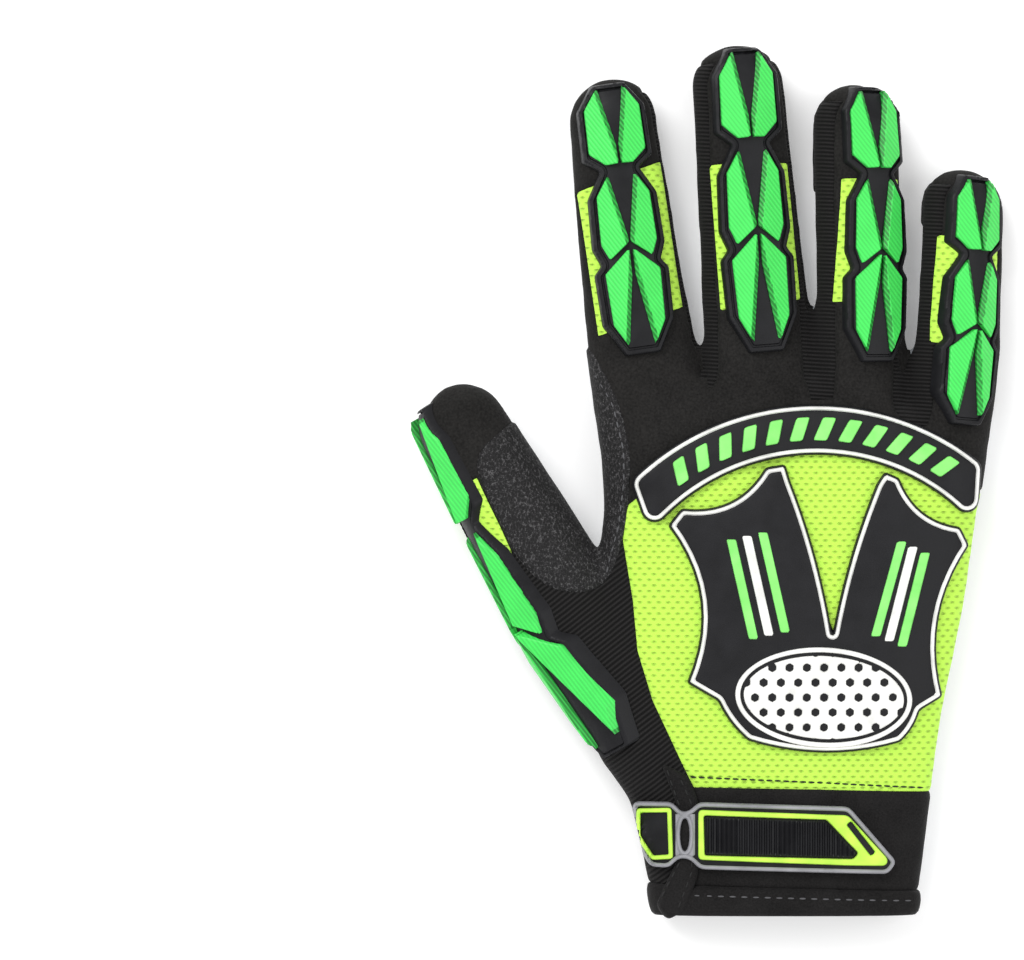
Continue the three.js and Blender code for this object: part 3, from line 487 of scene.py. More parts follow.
def ellipse(centre, half, turn=0.0, steps=96, grow=0.0):
    angles = np.linspace(0, 2 * math.pi, steps, endpoint=False)
    across, along = (half[0] + grow) * np.cos(angles), (half[1] + grow) * np.sin(angles)
    slant = math.radians(turn)
    x = centre[0] + across * math.cos(slant) - along * math.sin(slant)
    y = centre[1] + across * math.sin(slant) + along * math.cos(slant)
    return np.stack([x, y], 1)


def bent_outline(corners):
    """Corners in plan, with the sideways bend of the edge to the next one."""
    points = []
    for (x, y, bend), (next_x, next_y, _) in zip(corners, corners[1:] + corners[:1]):
        run = math.hypot(next_x - x, next_y - y)
        out = (-(next_y - y) / run, (next_x - x) / run)
        steps = BEND_STEPS if bend else 1
        for t in (k / steps for k in range(steps)):
            push = -4 * bend * t * (1 - t)
            points.append((x + (next_x - x) * t + out[0] * push, y + (next_y - y) * t + out[1] * push))
    return points


def rounded(outline, radius, steps=4):
    """The outline with its corners cut to short curves."""
    outline = [np.array(point, float) for point in outline]
    points = []
    for i, corner in enumerate(outline):
        before, after = outline[i - 1], outline[(i + 1) % len(outline)]
        reach = [min(radius, np.linalg.norm(side - corner) / 2.2) for side in (before, after)]
        start = corner + (before - corner) / np.linalg.norm(before - corner) * reach[0]
        end = corner + (after - corner) / np.linalg.norm(after - corner) * reach[1]
        for t in np.linspace(0, 1, steps):
            points.append(start * (1 - t) ** 2 + corner * 2 * t * (1 - t) + end * t * t)
    return np.array(points)


def arch_outline():
    """The knuckle arch, drawn in from its edge by the radius that its corners are rounded with."""
    def polar(radius, degrees):
        angle = math.radians(degrees)
        return (ARCH["x"] + radius * math.cos(angle), ARCH["y"] + radius * math.sin(angle))

    outer, inner = ARCH["outer"] - ARCH_ROUND, ARCH["inner"] + ARCH_ROUND
    ease = math.degrees(ARCH_ROUND / outer)
    right, left = ARCH["right"], ARCH["left"]
    return [
        *[polar(outer, angle) for angle in np.linspace(right[1] + ease, left[1] - ease, ARCH_STEPS)],
        *[polar(inner, angle) for angle in np.linspace(left[0] - ease, right[0] + ease, ARCH_STEPS)],
    ]


# The hand's form


def superellipse(sides, square, half_width, half_depth):
    """Cross-section between an ellipse, at square 2, and a rectangle."""
    angles = np.linspace(0, 2 * math.pi, sides, endpoint=False)
    c, s = np.cos(angles), np.sin(angles)
    x = half_width * np.sign(c) * np.abs(c) ** (2 / square)
    z = half_depth * np.sign(s) * np.abs(s) ** (2 / square)
    return x, z


def palm_rings(sides=96):
    rings = []
    for front, left, right, top in PALM[::-1]:
        x, z = superellipse(sides, PALM_SQUARE, (right - left) / 2, (top - PALM_BOTTOM) / 2)
        middle = ((left + right) / 2, front, (top + PALM_BOTTOM) / 2)
        rings.append(np.stack([middle[0] + x, np.full(sides, middle[1]), middle[2] + z], 1))
    return rings


def digit_frame(name, lean=None):
    """Matrix of a digit's frame, across, along and out of its nail, and its length.

    The frame is leaned over by the digit's own roll or by another angle."""
    digit = DIGITS[name]
    rest = math.radians(digit["roll"] - digit["turn"])
    lean = digit["roll"] if lean is None else lean

    def height(end, row):
        return digit["top"][end] - math.hypot(
            digit["deep"][row] * math.cos(rest), digit["wide"][row] * math.sin(rest)
        )

    start = Vector((*digit["root"], height(0, 0)))
    end = Vector((*digit["tip"], height(1, 2)))
    along = (end - start).normalized()
    across = along.cross(Vector((0, 0, 1))).normalized()
    across.rotate(Matrix.Rotation(math.radians(lean), 3, along))
    nail = across.cross(along)
    turn = Matrix((across, along, nail)).transposed().to_4x4()
    return Matrix.Translation(start) @ turn, (end - start).length


def digit_size(name, distance):
    """Half width and half depth of a digit at a distance from its root."""
    digit = DIGITS[name]
    length = digit_frame(name)[1]
    cap_start = length - digit["cap"]
    climb = min(1, max(0, (distance - cap_start) / digit["cap"]))
    stops = (0, digit["middle"], 1)
    sizes = [np.interp(distance / length, stops, digit[side]) for side in ("wide", "deep")]
    return [size * math.sqrt(1 - climb * climb) for size in sizes]


def digit_rings(name, sides=64):
    digit = DIGITS[name]
    matrix, length = digit_frame(name)
    cap_start = length - digit["cap"]
    body = np.linspace(0, cap_start, BODY_RINGS)
    cap = cap_start + digit["cap"] * np.sin(np.radians(np.arange(CAP_DEGREES, 90, CAP_DEGREES)))
    c, s = math.cos(math.radians(digit["turn"])), math.sin(math.radians(digit["turn"]))
    rings = []
    for distance in np.concatenate([body, cap]):
        x, z = superellipse(sides, DIGIT_SQUARE, *digit_size(name, distance))
        x, z = x * c - z * s, x * s + z * c
        offset = digit["bow"] * math.sin(math.pi * distance / length)
        rings.append(placed(np.stack([offset + x, np.full(sides, distance), z], 1), matrix))
    return rings


def placed(points, matrix):
    turn = np.array(matrix.to_3x3())
    return points @ turn.T + np.array(matrix.translation)


def local(points, name, lean=None):
    return placed(points, digit_frame(name, lean)[0].inverted())


def loft(rings):
    """Closed tube through rings of the same count of points."""
    count = len(rings[0])
    points = np.concatenate(rings)
    faces = []
    for ring in range(len(rings) - 1):
        for i in range(count):
            a, b = ring * count + i, ring * count + (i + 1) % count
            faces.append((a, b, b + count, a + count))
    faces.append(tuple(range(count - 1, -1, -1)))
    faces.append(tuple(range(len(points) - count, len(points))))
    return points, faces


def triangles_of(mesh):
    mesh.calc_loop_triangles()
    triangles = np.empty(len(mesh.loop_triangles) * 3, np.int32)
    mesh.loop_triangles.foreach_get("vertices", triangles)
    points = np.empty(len(mesh.vertices) * 3)
    mesh.vertices.foreach_get("co", points)
    return points.reshape(-1, 3), triangles.reshape(-1, 3).astype(int)


def neighbour_mean(triangles, count):
    """A function that takes each point's values to the mean of its neighbours' values."""
    edges = np.unique(np.sort(edges_of(triangles), axis=1), axis=0)
    ends = np.concatenate([edges, edges[:, ::-1]])
    number = np.bincount(ends[:, 0], minlength=count)

    def mean(values):
        sums = [np.bincount(ends[:, 0], values[ends[:, 1], k], count) for k in range(3)]
        return np.stack(sums, 1) / number[:, None]

    return mean


def point_normals(points, triangles):
    """Outward direction at each point, weighted by the size of the triangles round it."""
    a, b, c = (points[triangles[:, k]] for k in range(3))
    flat = np.cross(b - a, c - a)
    corners = triangles.ravel()
    sums = [np.bincount(corners, np.repeat(flat[:, k], 3), len(points)) for k in range(3)]
    normals = np.stack(sums, 1)
    return normals / np.maximum(np.linalg.norm(normals, axis=1), 1e-9)[:, None]


def hand_surface():
    """One smooth closed surface of the whole hand, flat where it lies, with its outward directions."""
    points, faces = [], []
    for rings in [palm_rings(), *[digit_rings(name) for name in DIGITS]]:
        ring_points, ring_faces = loft(rings)
        shift = sum(len(part) for part in points)
        points.append(ring_points)
        faces += [tuple(i + shift for i in face) for face in ring_faces]
    mesh = bpy.data.meshes.new("hand_form")
    mesh.from_pydata(np.concatenate(points).tolist(), [], faces)
    form = bpy.data.objects.new("hand_form", mesh)
    bpy.context.scene.collection.objects.link(form)
    remesh = form.modifiers.new("one_skin", "REMESH")
    remesh.mode = "VOXEL"
    remesh.voxel_size = VOXEL
    shown = form.evaluated_get(bpy.context.evaluated_depsgraph_get())
    points, triangles = triangles_of(shown.to_mesh())
    shown.to_mesh_clear()
    bpy.data.objects.remove(form)
    bpy.data.meshes.remove(mesh)

    mean = neighbour_mean(triangles, len(points))
    points[:, 2] = np.maximum(points[:, 2], FLOOR)
    for _ in range(ROUNDING):
        points = (points + mean(points)) / 2
        points[:, 2] = np.maximum(points[:, 2], FLOOR)
    normals = point_normals(points, triangles)
    for _ in range(NORMAL_ROUNDING):
        normals = normals + mean(normals)
        normals /= np.linalg.norm(normals, axis=1)[:, None]
    return points, triangles, normals


def wrinkled(points, normals):
    """Slow waves over the cloth, stronger where it gathers at the thumb and the wrist."""
    heights = np.empty(len(points))
    for i, (x, y, z) in enumerate(points):
        slow = noise.noise((x / 17, y / 23, z / 17 + 4.0))
        fine = noise.noise((x / 6 + y / 19, y / 7, z / 7 + 9.0))
        heights[i] = SLOW_FOLD * slow + FINE_FOLD * fine
    thumb = 1 - smoothstep(polygon_distance(points[:, :2], GATHERED), 0, GATHER_REACH)
    gather = np.sin((points[:, 0] * 0.75 + points[:, 1] * 0.66) / 2.9) * GATHER_HEIGHT
    heights += thumb * gather
    resting = smoothstep(points[:, 2], FLOOR, FLOOR + REST_BLEND)
    return points + normals * (heights * resting)[:, None]


# Regions that part the cloth into panels, as fields below zero inside


def plan_region(points, outline, low=-FAR, high=FAR):
    distance = polygon_distance(points[:, :2], outline)
    return np.maximum.reduce([distance, low - points[:, 2], points[:, 2] - high])


def digit_region(points, name, outline, low, high, lean=None):
    return plan_region(local(points, name, lean), outline, low, high)


def finger_region(points, name, outline, low, high):
    place = FINGERS.index(name)
    left = FINGER_GAPS[place - 1] if place else [(-FAR, 0), (-FAR, FAR)]
    right = FINGER_GAPS[place] if place < len(FINGER_GAPS) else [(FAR, 0), (FAR, FAR)]
    share = polygon_distance(points[:, :2], left + right[::-1])
    return np.maximum(digit_region(points, name, outline, low, high), share)


def fourchette_region(points, left, right, crotch):
    """The facing sides of two fingers and the crotch between them."""
    x, y = crotch
    fields = []
    for name, outward in ((left, 1), (right, -1)):
        length = digit_frame(name)[1]
        start = y - CROTCH_DEPTH - DIGITS[name]["root"][1]
        near, far = sorted((outward * FOURCHETTE_INSIDE, outward * FOURCHETTE_REACH))
        high = FOURCHETTE_RIGHT if outward == 1 else DIGITS[name]["seam"]
        outline = box(near, start, far, length - FOURCHETTE_TIP)
        fields.append(digit_region(points, name, outline, FOURCHETTE_LOW, high))
    crotch_box = box(x - CROTCH_HALF, y - CROTCH_DEPTH, x + CROTCH_HALF, y + CROTCH_HALF)
    fields.append(plan_region(points, crotch_box, CROTCH_LOW, CROTCH_HIGH))
    return np.minimum.reduce(fields)


def palm_region(points):
    """The lower half of the hand with the fronts of the fingers and the thumb's tip."""
    half = points[:, 2] - SPLIT_Z
    sides = box(-FINGER_REACH, FINGERS_FROM, FINGER_REACH, FINGERS_TO)
    backs = [finger_region(points, name, sides, FINGER_SEAM, FINGER_REACH) for name in FINGERS]
    fronts = [finger_region(points, name, sides, -FINGER_REACH, FINGER_SEAM) for name in FINGERS]
    thumb_front = box(-THUMB_REACH, THUMB_PALM_FROM, THUMB_REACH, FAR)
    thumb = digit_region(points, "thumb", thumb_front, -THUMB_REACH, THUMB_SEAM)
    half = np.maximum(half, -np.minimum.reduce(backs))
    return np.minimum.reduce([half, *fronts, thumb])


def insert_region(points, name):
    digit = DIGITS[name]
    return digit_region(points, name, digit["insert"], INSERT_LOW, FAR, digit["guard_roll"])


# Materials


class Look:
    """A node material whose patterns are laid out in millimetres of the glove's frame."""

    def __init__(self, name, colour, roughness, **sockets):
        self.material = bpy.data.materials.new(name)
        self.material.use_nodes = True
        self.nodes = self.material.node_tree.nodes
        self.links = self.material.node_tree.links
        self.shader = self.nodes["Principled BSDF"]
        self.shader.inputs["Base Color"].default_value = (*colour, 1)
        self.shader.inputs["Roughness"].default_value = roughness
        for socket, value in sockets.items():
            self.shader.inputs[socket.replace("_", " ")].default_value = value
        self.colour = colour
        metres = self.nodes.new("ShaderNodeTexCoord").outputs["Object"]
        scale = self.nodes.new("ShaderNodeVectorMath")
        scale.operation = "SCALE"
        scale.inputs["Scale"].default_value = 1 / MM
        self.links.new(metres, scale.inputs[0])
        self.place = scale.outputs[0]

    def math(self, operation, first, second=0.0, clamp=False):
        node = self.nodes.new("ShaderNodeMath")
        node.operation = operation
        node.use_clamp = clamp
        for value, socket in zip((first, second), node.inputs):
            if isinstance(value, (int, float)):
                socket.default_value = value
            else:
                self.links.new(value, socket)
        return node.outputs[0]

    def blend(self, *parts, base=0.0):
        """Sum of patterns, each times its share, and of a base."""
        total = base
        for value, share in parts:
            total = self.math("ADD", self.math("MULTIPLY", value, share), total)
        return total

    def turned(self, turn, stretch=(1, 1, 1)):
        node = self.nodes.new("ShaderNodeMapping")
        node.inputs["Rotation"].default_value = [math.radians(angle) for angle in turn]
        node.inputs["Scale"].default_value = stretch
        self.links.new(self.place, node.inputs["Vector"])
        return node.outputs[0]

    def noise(self, size, detail=3.0, vector=None):
        node = self.nodes.new("ShaderNodeTexNoise")
        node.inputs["Scale"].default_value = 1 / size
        node.inputs["Detail"].default_value = detail
        self.links.new(vector or self.place, node.inputs["Vector"])
        return node.outputs["Fac"]

    def cells(self, size, vector=None):
        node = self.nodes.new("ShaderNodeTexVoronoi")
        node.inputs["Scale"].default_value = 1 / size
        self.links.new(vector or self.place, node.inputs["Vector"])
        return node.outputs["Distance"]

    def ribs(self, pitch, turn=(0, 0, 0), wobble=0.0):
        """Bands across X of the turned frame, a pitch apart, from 0 to 1."""
        node = self.nodes.new("ShaderNodeTexWave")
        node.inputs["Scale"].default_value = math.tau / 20 / pitch
        node.inputs["Distortion"].default_value = wobble
        node.inputs["Detail Scale"].default_value = 0.6
        self.links.new(self.turned(turn), node.inputs["Vector"])
        return node.outputs["Fac"]

    def ramp(self, value, *stops):
        node = self.nodes.new("ShaderNodeValToRGB")
        elements = node.color_ramp.elements
        while len(elements) < len(stops):
            elements.new(0.5)
        for element, (position, colour) in zip(elements, stops):
            element.position = position
            element.color = (*colour, 1) if isinstance(colour, tuple) else (colour, colour, colour, 1)
        self.links.new(value, node.inputs["Fac"])
        return node.outputs["Color"]

    def paint(self, value, *stops):
        """Base colour over a pattern: each stop is a place and a share of the main colour."""
        shades = [(place, tuple(min(1, part * share) for part in self.colour)) for place, share in stops]
        self.links.new(self.ramp(value, *shades), self.shader.inputs["Base Color"])

    def rough(self, value, low, high):
        self.links.new(self.ramp(value, (0.2, low), (0.8, high)), self.shader.inputs["Roughness"])

    def bump(self, *layers):
        """Each layer is a pattern and its height in millimetres."""
        normal = None
        for value, height in layers:
            node = self.nodes.new("ShaderNodeBump")
            node.inputs["Strength"].default_value = 1
            node.inputs["Distance"].default_value = height * MM
            self.links.new(value, node.inputs["Height"])
            if normal:
                self.links.new(normal, node.inputs["Normal"])
            normal = node.outputs["Normal"]
        self.links.new(normal, self.shader.inputs["Normal"])

    def slits(self, pitch, row, turn, wide=0.27, high=0.21):
        """Staggered short slits: 0 in the middle of each slit, 1 outside it."""
        vector = self.turned((0, 0, turn))
        node = self.nodes.new("ShaderNodeSeparateXYZ")
        self.links.new(vector, node.inputs[0])
        rows = self.math("DIVIDE", node.outputs["Y"], row)
        odd = self.math("MULTIPLY", self.math("MODULO", self.math("FLOOR", rows), 2.0), 0.5)
        columns = self.math("ADD", self.math("DIVIDE", node.outputs["X"], pitch), odd)
        across = self.math("MULTIPLY", self.math("SUBTRACT", self.math("FRACT", columns), 0.5), pitch)
        along = self.math("MULTIPLY", self.math("SUBTRACT", self.math("FRACT", rows), 0.5), row)
        across = self.math("POWER", self.math("DIVIDE", across, pitch * wide), 2.0)
        along = self.math("POWER", self.math("DIVIDE", along, row * high), 2.0)
        return self.math("SQRT", self.math("ADD", across, along))


def knit_look(name, colour, turn, pitch):
    look = Look(name, colour, 0.9, Specular_IOR_Level=0.12, Sheen_Weight=0.04)
    ribs = look.ribs(pitch, turn, wobble=0.6)
    fibre = look.noise(0.35, 4)
    look.paint(look.math("MULTIPLY", ribs, look.math("ADD", fibre, 0.35)), (0.1, 0.45), (0.9, 2.2))
    look.bump((ribs, 0.32), (fibre, 0.08))
    return look.material


def cloth_look(name, colour, grain, sheen=0.04):
    look = Look(name, colour, 0.88, Specular_IOR_Level=0.12, Sheen_Weight=sheen, Sheen_Roughness=0.4)
    fibre = look.noise(grain, 5)
    broad = look.noise(9.0, 2)
    look.paint(look.blend((fibre, 0.7), (broad, 0.3)), (0.3, 0.55), (0.7, 1.9))
    look.bump((fibre, 0.14))
    return look.material


def mesh_look(name, colour, turn):
    look = Look(name, colour, 0.72, Specular_IOR_Level=0.25, Sheen_Weight=0.05)
    slit = look.slits(2.7, 1.6, turn)
    dent = look.math("SUBTRACT", slit, 0.25, clamp=True)
    knit = look.noise(0.45, 3, look.turned((0, 0, turn), (1, 2.2, 1)))
    # Painted shade: the colour darkens inside each dent of the mesh; the knit noise is the cloth's own
    # tone.
    shade = look.math("MULTIPLY", look.blend((dent, 0.75), base=0.25), look.blend((knit, 0.5), base=0.72))
    look.paint(shade, (0.15, 0.58), (0.6, 0.92), (0.95, 1.04))
    look.bump((dent, 0.4), (knit, 0.07))
    return look.material


def suede_look(name, colour):
    look = Look(name, colour, 0.95, Sheen_Weight=0.3, Sheen_Roughness=0.6)
    nap = look.noise(0.4, 6)
    cloud = look.noise(3.2, 4)
    look.paint(look.blend((nap, 0.6), (cloud, 0.4)), (0.3, 0.72), (0.7, 1.28))
    look.bump((nap, 0.1), (cloud, 0.12))
    return look.material


def grip_look(name, colour):
    look = Look(name, colour, 0.75, Specular_IOR_Level=0.2)
    crumb = look.noise(0.3, 5)
    creases = look.cells(0.65, look.turned((20, 10, 35), (1, 0.7, 1)))
    mixed = look.math("MULTIPLY", crumb, look.math("ADD", creases, 0.6))
    look.paint(mixed, (0.38, 0.4), (0.58, 0.75), (0.68, 1.4), (0.82, 4.5))
    look.rough(crumb, 0.55, 0.85)
    look.bump((mixed, 0.22))
    return look.material


def rubber_look(name, colour, roughness, grain=0.35, depth=0.03):
    look = Look(name, colour, roughness, Specular_IOR_Level=0.18)
    fine = look.noise(grain, 3)
    broad = look.noise(6.0, 3)
    look.paint(broad, (0.3, 0.85), (0.7, 1.2))
    look.rough(broad, roughness - 0.07, min(1, roughness + 0.1))
    look.bump((fine, depth))
    return look.material


def facet_look(name, colour, turn):
    """Finely ribbed rubber with painted shade: darker on the inner slopes that the shade column marks."""
    look = Look(name, colour, 0.45, Specular_IOR_Level=0.35)
    shade = look.nodes.new("ShaderNodeAttribute")
    shade.attribute_name = "shade"
    ribs = look.ribs(1.0, turn)
    broad = look.noise(7.0, 2)
    # Painted shade: the shade column darkens the colour on the facets' inner slopes.
    lit = look.blend((ribs, 0.35), (broad, 0.3), (shade.outputs["Fac"], -0.5), base=0.35)
    look.paint(lit, (0.1, 0.3), (0.45, 0.82), (0.9, 1.12))
    look.bump((ribs, 0.06))
    return look.material


LOOKS = {
    "black_fabric": cloth_look("black_fabric", (0.011, 0.0105, 0.01), 0.7),
    "knit": knit_look("ribbed_knit", (0.0095, 0.009, 0.009), (0, 0, 52), 1.25),
    "gusset_knit": knit_look("gusset_knit", (0.009, 0.0085, 0.0085), (0, 0, 94), 1.1),
    "neoprene": cloth_look("neoprene", (0.009, 0.0085, 0.0085), 0.45, 0.06),
    "suede": suede_look("suede", (0.25, 0.27, 0.29)),
    "grip": grip_look("grip_fabric", (0.02, 0.0195, 0.02)),
    "mesh_yellow": mesh_look("yellow_mesh", (0.48, 0.82, 0.085), 0),
    "guard_rubber": rubber_look("guard_rubber", (0.01, 0.01, 0.0115), 0.4),
    "facet_green": facet_look("facet_green", (0.055, 0.68, 0.1), (0, 0, -38)),
    "pad_rubber": rubber_look("pad_rubber", (0.011, 0.011, 0.0125), 0.5, 0.3, 0.05),
    "stripe_green": rubber_look("stripe_green", (0.24, 0.78, 0.17), 0.5),
    "stripe_white": rubber_look("stripe_white", (0.82, 0.82, 0.79), 0.5),
    "tab_grey": rubber_look("tab_grey", (0.27, 0.27, 0.29), 0.45),
    "tab_yellow": rubber_look("tab_yellow", (0.5, 0.84, 0.09), 0.45),
    "gloss_print": rubber_look("gloss_print", (0.008, 0.008, 0.009), 0.14, 1.0, 0.02),
    "dark_thread": rubber_look("dark_thread", (0.02, 0.02, 0.02), 0.7, 0.3, 0.05),
    "grey_thread": rubber_look("grey_thread", (0.09, 0.09, 0.095), 0.75, 0.3, 0.05),
}


def make(name, look, shells, nodes=(), sharp=34, shades=()):
    """A piece from closed shells in millimetres. It stands for the named solids."""
    points, faces, shift = [], [], 0
    for shell_points, shell_faces in shells:
        points.append(shell_points)
        faces.append(shell_faces + shift)
        shift += len(shell_points)
    points, faces = np.concatenate(points) * MM, np.concatenate(faces)
    points[:, 2] = np.maximum(points[:, 2], 0)
    name = f"{name}_fine"
    mesh = bpy.data.meshes.new(name)
    mesh.vertices.add(len(points))
    mesh.vertices.foreach_set("co", points.ravel())
    mesh.loops.add(faces.size)
    mesh.loops.foreach_set("vertex_index", faces.ravel().astype(np.int32))
    mesh.polygons.add(len(faces))
    mesh.polygons.foreach_set("loop_start", np.arange(0, faces.size, 3, dtype=np.int32))
    mesh.update(calc_edges=True)
    # shades: painted shade at each point, read by the facet look to darken its colour.
    if shades:
        column = mesh.attributes.new("shade", "FLOAT", "POINT")
        column.data.foreach_set("value", np.concatenate(shades).astype(np.float32))
    mesh.validate()
    mesh.polygons.foreach_set("use_smooth", np.ones(len(mesh.polygons), bool))
    mesh.set_sharp_from_angle(angle=math.radians(sharp))
    mesh.materials.append(LOOKS[look])
    piece = bpy.data.objects.new(name, mesh)
    bpy.context.scene.collection.objects.link(piece)
    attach(piece, "root")
    if nodes:
        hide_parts(*nodes)
    return piece


# Cloth panels


def rim_distance(sheet, reach):
    """Distance from each point to the sheet's rim, up to a reach."""
    edges = sheet.rim()
    start, end = sheet["at"][edges[:, 0]], sheet["at"][edges[:, 1]]
    samples = np.concatenate([start * (1 - t) + end * t for t in (0, 0.25, 0.5, 0.75)])
    tree = KDTree(len(samples))
    for i, point in enumerate(samples):
        tree.insert(point, i)
    tree.balance()
    return np.array([min(reach, tree.find(point)[2]) for point in sheet["at"]])


def panel(name, look, sheet, nodes, lift=0.0, thickness=WALL, seam=SEAM_DEPTH, width=SEAM_WIDTH):
    """Cloth with its edges turned in along the seams."""
    near = rim_distance(sheet, width)
    turn = (1 - near / width) ** 2 * seam
    top = sheet["at"] + sheet["out"] * (lift - turn)[:, None]
    bottom = sheet["at"] + sheet["out"] * (lift - thickness)
    top[:, 2] = np.maximum(top[:, 2], 0.0)
    return make(name, look, [sheet.closed(top, bottom)], nodes, sharp=60)


def build_cloth(skin):
    """Parts the hand's surface into panels, one after the other."""
    _, rest = skin.carve(plan_region(skin["at"], box(-FAR, -FAR, FAR, WRIST_END)))

    hem_outline = [*HEM_TOP, (FAR, -FAR), (HEM_TOP[0][0], -FAR)]
    hem, rest = rest.carve(plan_region(rest["at"], hem_outline))
    build_hem(hem)

    for name in DIGITS:
        insert, rest = rest.carve(insert_region(rest["at"], name))
        node = f"{name}_mesh_insert"
        panel(node, "mesh_yellow", insert, [node], seam=INSERT_SEAM)
    for name, left, right, crotch in FOURCHETTES:
        gusset, rest = rest.carve(fourchette_region(rest["at"], left, right, crotch))
        panel(name, "gusset_knit", gusset, [name])

    thumb_box = box(-FAR, THUMB_PANEL_FROM, FAR, FAR)
    thumb, rest = rest.carve(digit_region(rest["at"], "thumb", thumb_box, THUMB_SEAM, FAR))
    panel("thumb_panel", "black_fabric", thumb, ["thumb_panel"])

    left_line = [*MESH_LEFT, *CUFF_LEFT, (CUFF_LEFT[-1][0], -FAR)]
    knit_line = [*KNIT_SEAM, (KNIT_SEAM[-1][0], -FAR)]
    sides = [
        plan_region(rest["at"], [*line, (-FAR, -FAR), (-FAR, line[0][1])], low, high)
        for line, low, high in ((left_line, SPLIT_Z, FAR), (knit_line, -FAR, SPLIT_Z))
    ]
    side, rest = rest.carve(np.minimum(*sides))
    panel("side_panel", "knit", side, ["side_panel"])

    mesh_outline = [*MESH_LEFT, *MESH_FOOT, *MESH_TOP[:-1]]
    mesh, rest = rest.carve(plan_region(rest["at"], mesh_outline, SPLIT_Z))
    panel("mesh_panel", "mesh_yellow", mesh, ["mesh_panel"])

    cuff_outline = [MESH_LEFT[-1], *CUFF_LEFT, (CUFF_LEFT[-1][0], -FAR), (FAR, -FAR), *MESH_FOOT[::-1]]
    cuff, rest = rest.carve(plan_region(rest["at"], cuff_outline, SPLIT_Z))
    panel("cuff_panel", "neoprene", cuff, ["cuff_panel"])

    palm, back = rest.carve(palm_region(rest["at"]))
    panel("palm_panel", "suede", palm, ["palm_panel"])
    panel("back_panel", "black_fabric", back, ["back_panel"])


def build_hem(hem):
    """Binding around the wrist opening: a roll that bulges out and turns in at the open end."""
    to_end = hem["at"][:, 1] - WRIST_END
    to_top = polygon_distance(hem["at"][:, :2], [*HEM_TOP, (FAR, FAR), (HEM_TOP[0][0], FAR)])
    share = np.clip(to_end / np.maximum(to_end + to_top, 0.1), 0, 1)
    bulge = HEM_BULGE * np.sqrt(np.clip(1 - (2 * share - 1) ** 2, 0, 1))
    top = hem["at"] + hem["out"] * bulge[:, None]
    bottom = hem["at"] - hem["out"] * (WALL + HEM_INSIDE * bulge)[:, None]
    top[:, 2] = np.maximum(top[:, 2], HEM_LOW)
    make("hem_binding", "neoprene", [hem.closed(top, bottom)], ["hem_binding"], sharp=60)


def build_patches(skin):
    """Grip patches laid on the palm side."""
    at = skin["at"]

    def patch(name, field):
        piece, _ = skin.carve(field)
        panel(name, "grip", piece, [name], PATCH, PATCH + PATCH_BED, PATCH_SEAM, PATCH_SEAM_WIDTH)

    for name, edge in TIP_EDGES.items():
        outline = [*edge, (edge[1][0], FAR), (edge[0][0], FAR)]
        patch(f"{name}_tip_patch", finger_region(at, name, outline, -FAR, TIP_RISE))
    thumb_pad = digit_region(at, "thumb", rounded(THUMB_PATCH, 6), -FAR, THUMB_PATCH_RISE, 0)
    patch("thumb_tip_patch", thumb_pad)
    web = plan_region(at, rounded(THUMB_CROTCH, 7), CROTCH_TURN)
    strip = plan_region(at, CROTCH_STRIP, -FAR, CROTCH_TURN)
    web = np.maximum.reduce([np.minimum(web, strip), GAP - thumb_pad, GAP - insert_region(at, "thumb")])
    patch("thumb_crotch_patch", web)
    for name, outline in PALM_PATCHES.items():
        patch(name, plan_region(at, rounded(outline, 2.5), -FAR, PALM_PATCH_TOP))
    disc = polygon_distance(at[:, :2], ellipse(**HEEL))
    above = HEEL["centre"][1] - at[:, 1]
    patch("heel_patch", np.maximum.reduce([disc, above, at[:, 2] - PALM_PATCH_TOP]))


# Moulded pieces laid over the cloth


def bounds_of(outline, margin):
    outline = np.asarray(outline)
    return outline.min(0) - margin, outline.max(0) + margin


def inside(*outlines, grow=0.0):
    """A field that is below zero inside any of the outlines, moved out by grow."""
    return lambda points: np.minimum.reduce([polygon_distance(points, one) for one in outlines]) - grow


def without(outline, *holes):
    """A field that is below zero inside an outline and outside its holes."""
    area, cut = inside(outline), inside(*holes)
    return lambda points: np.maximum(area(points), -cut(points))


def slab(centre, across, along, radius):
    """Four-sided outline with rounded corners, from its middle and its two half sides."""
    corners = ((-1, -1), (1, -1), (1, 1), (-1, 1))
    return rounded([centre + across * i + along * j for i, j in corners], radius)


def edge_height(kind, field, tight=1.0):
    """Height of a kind of edge, by the distance in from the outline."""
    return np.interp(-field / tight, *zip(*EDGES[kind]["stops"]))


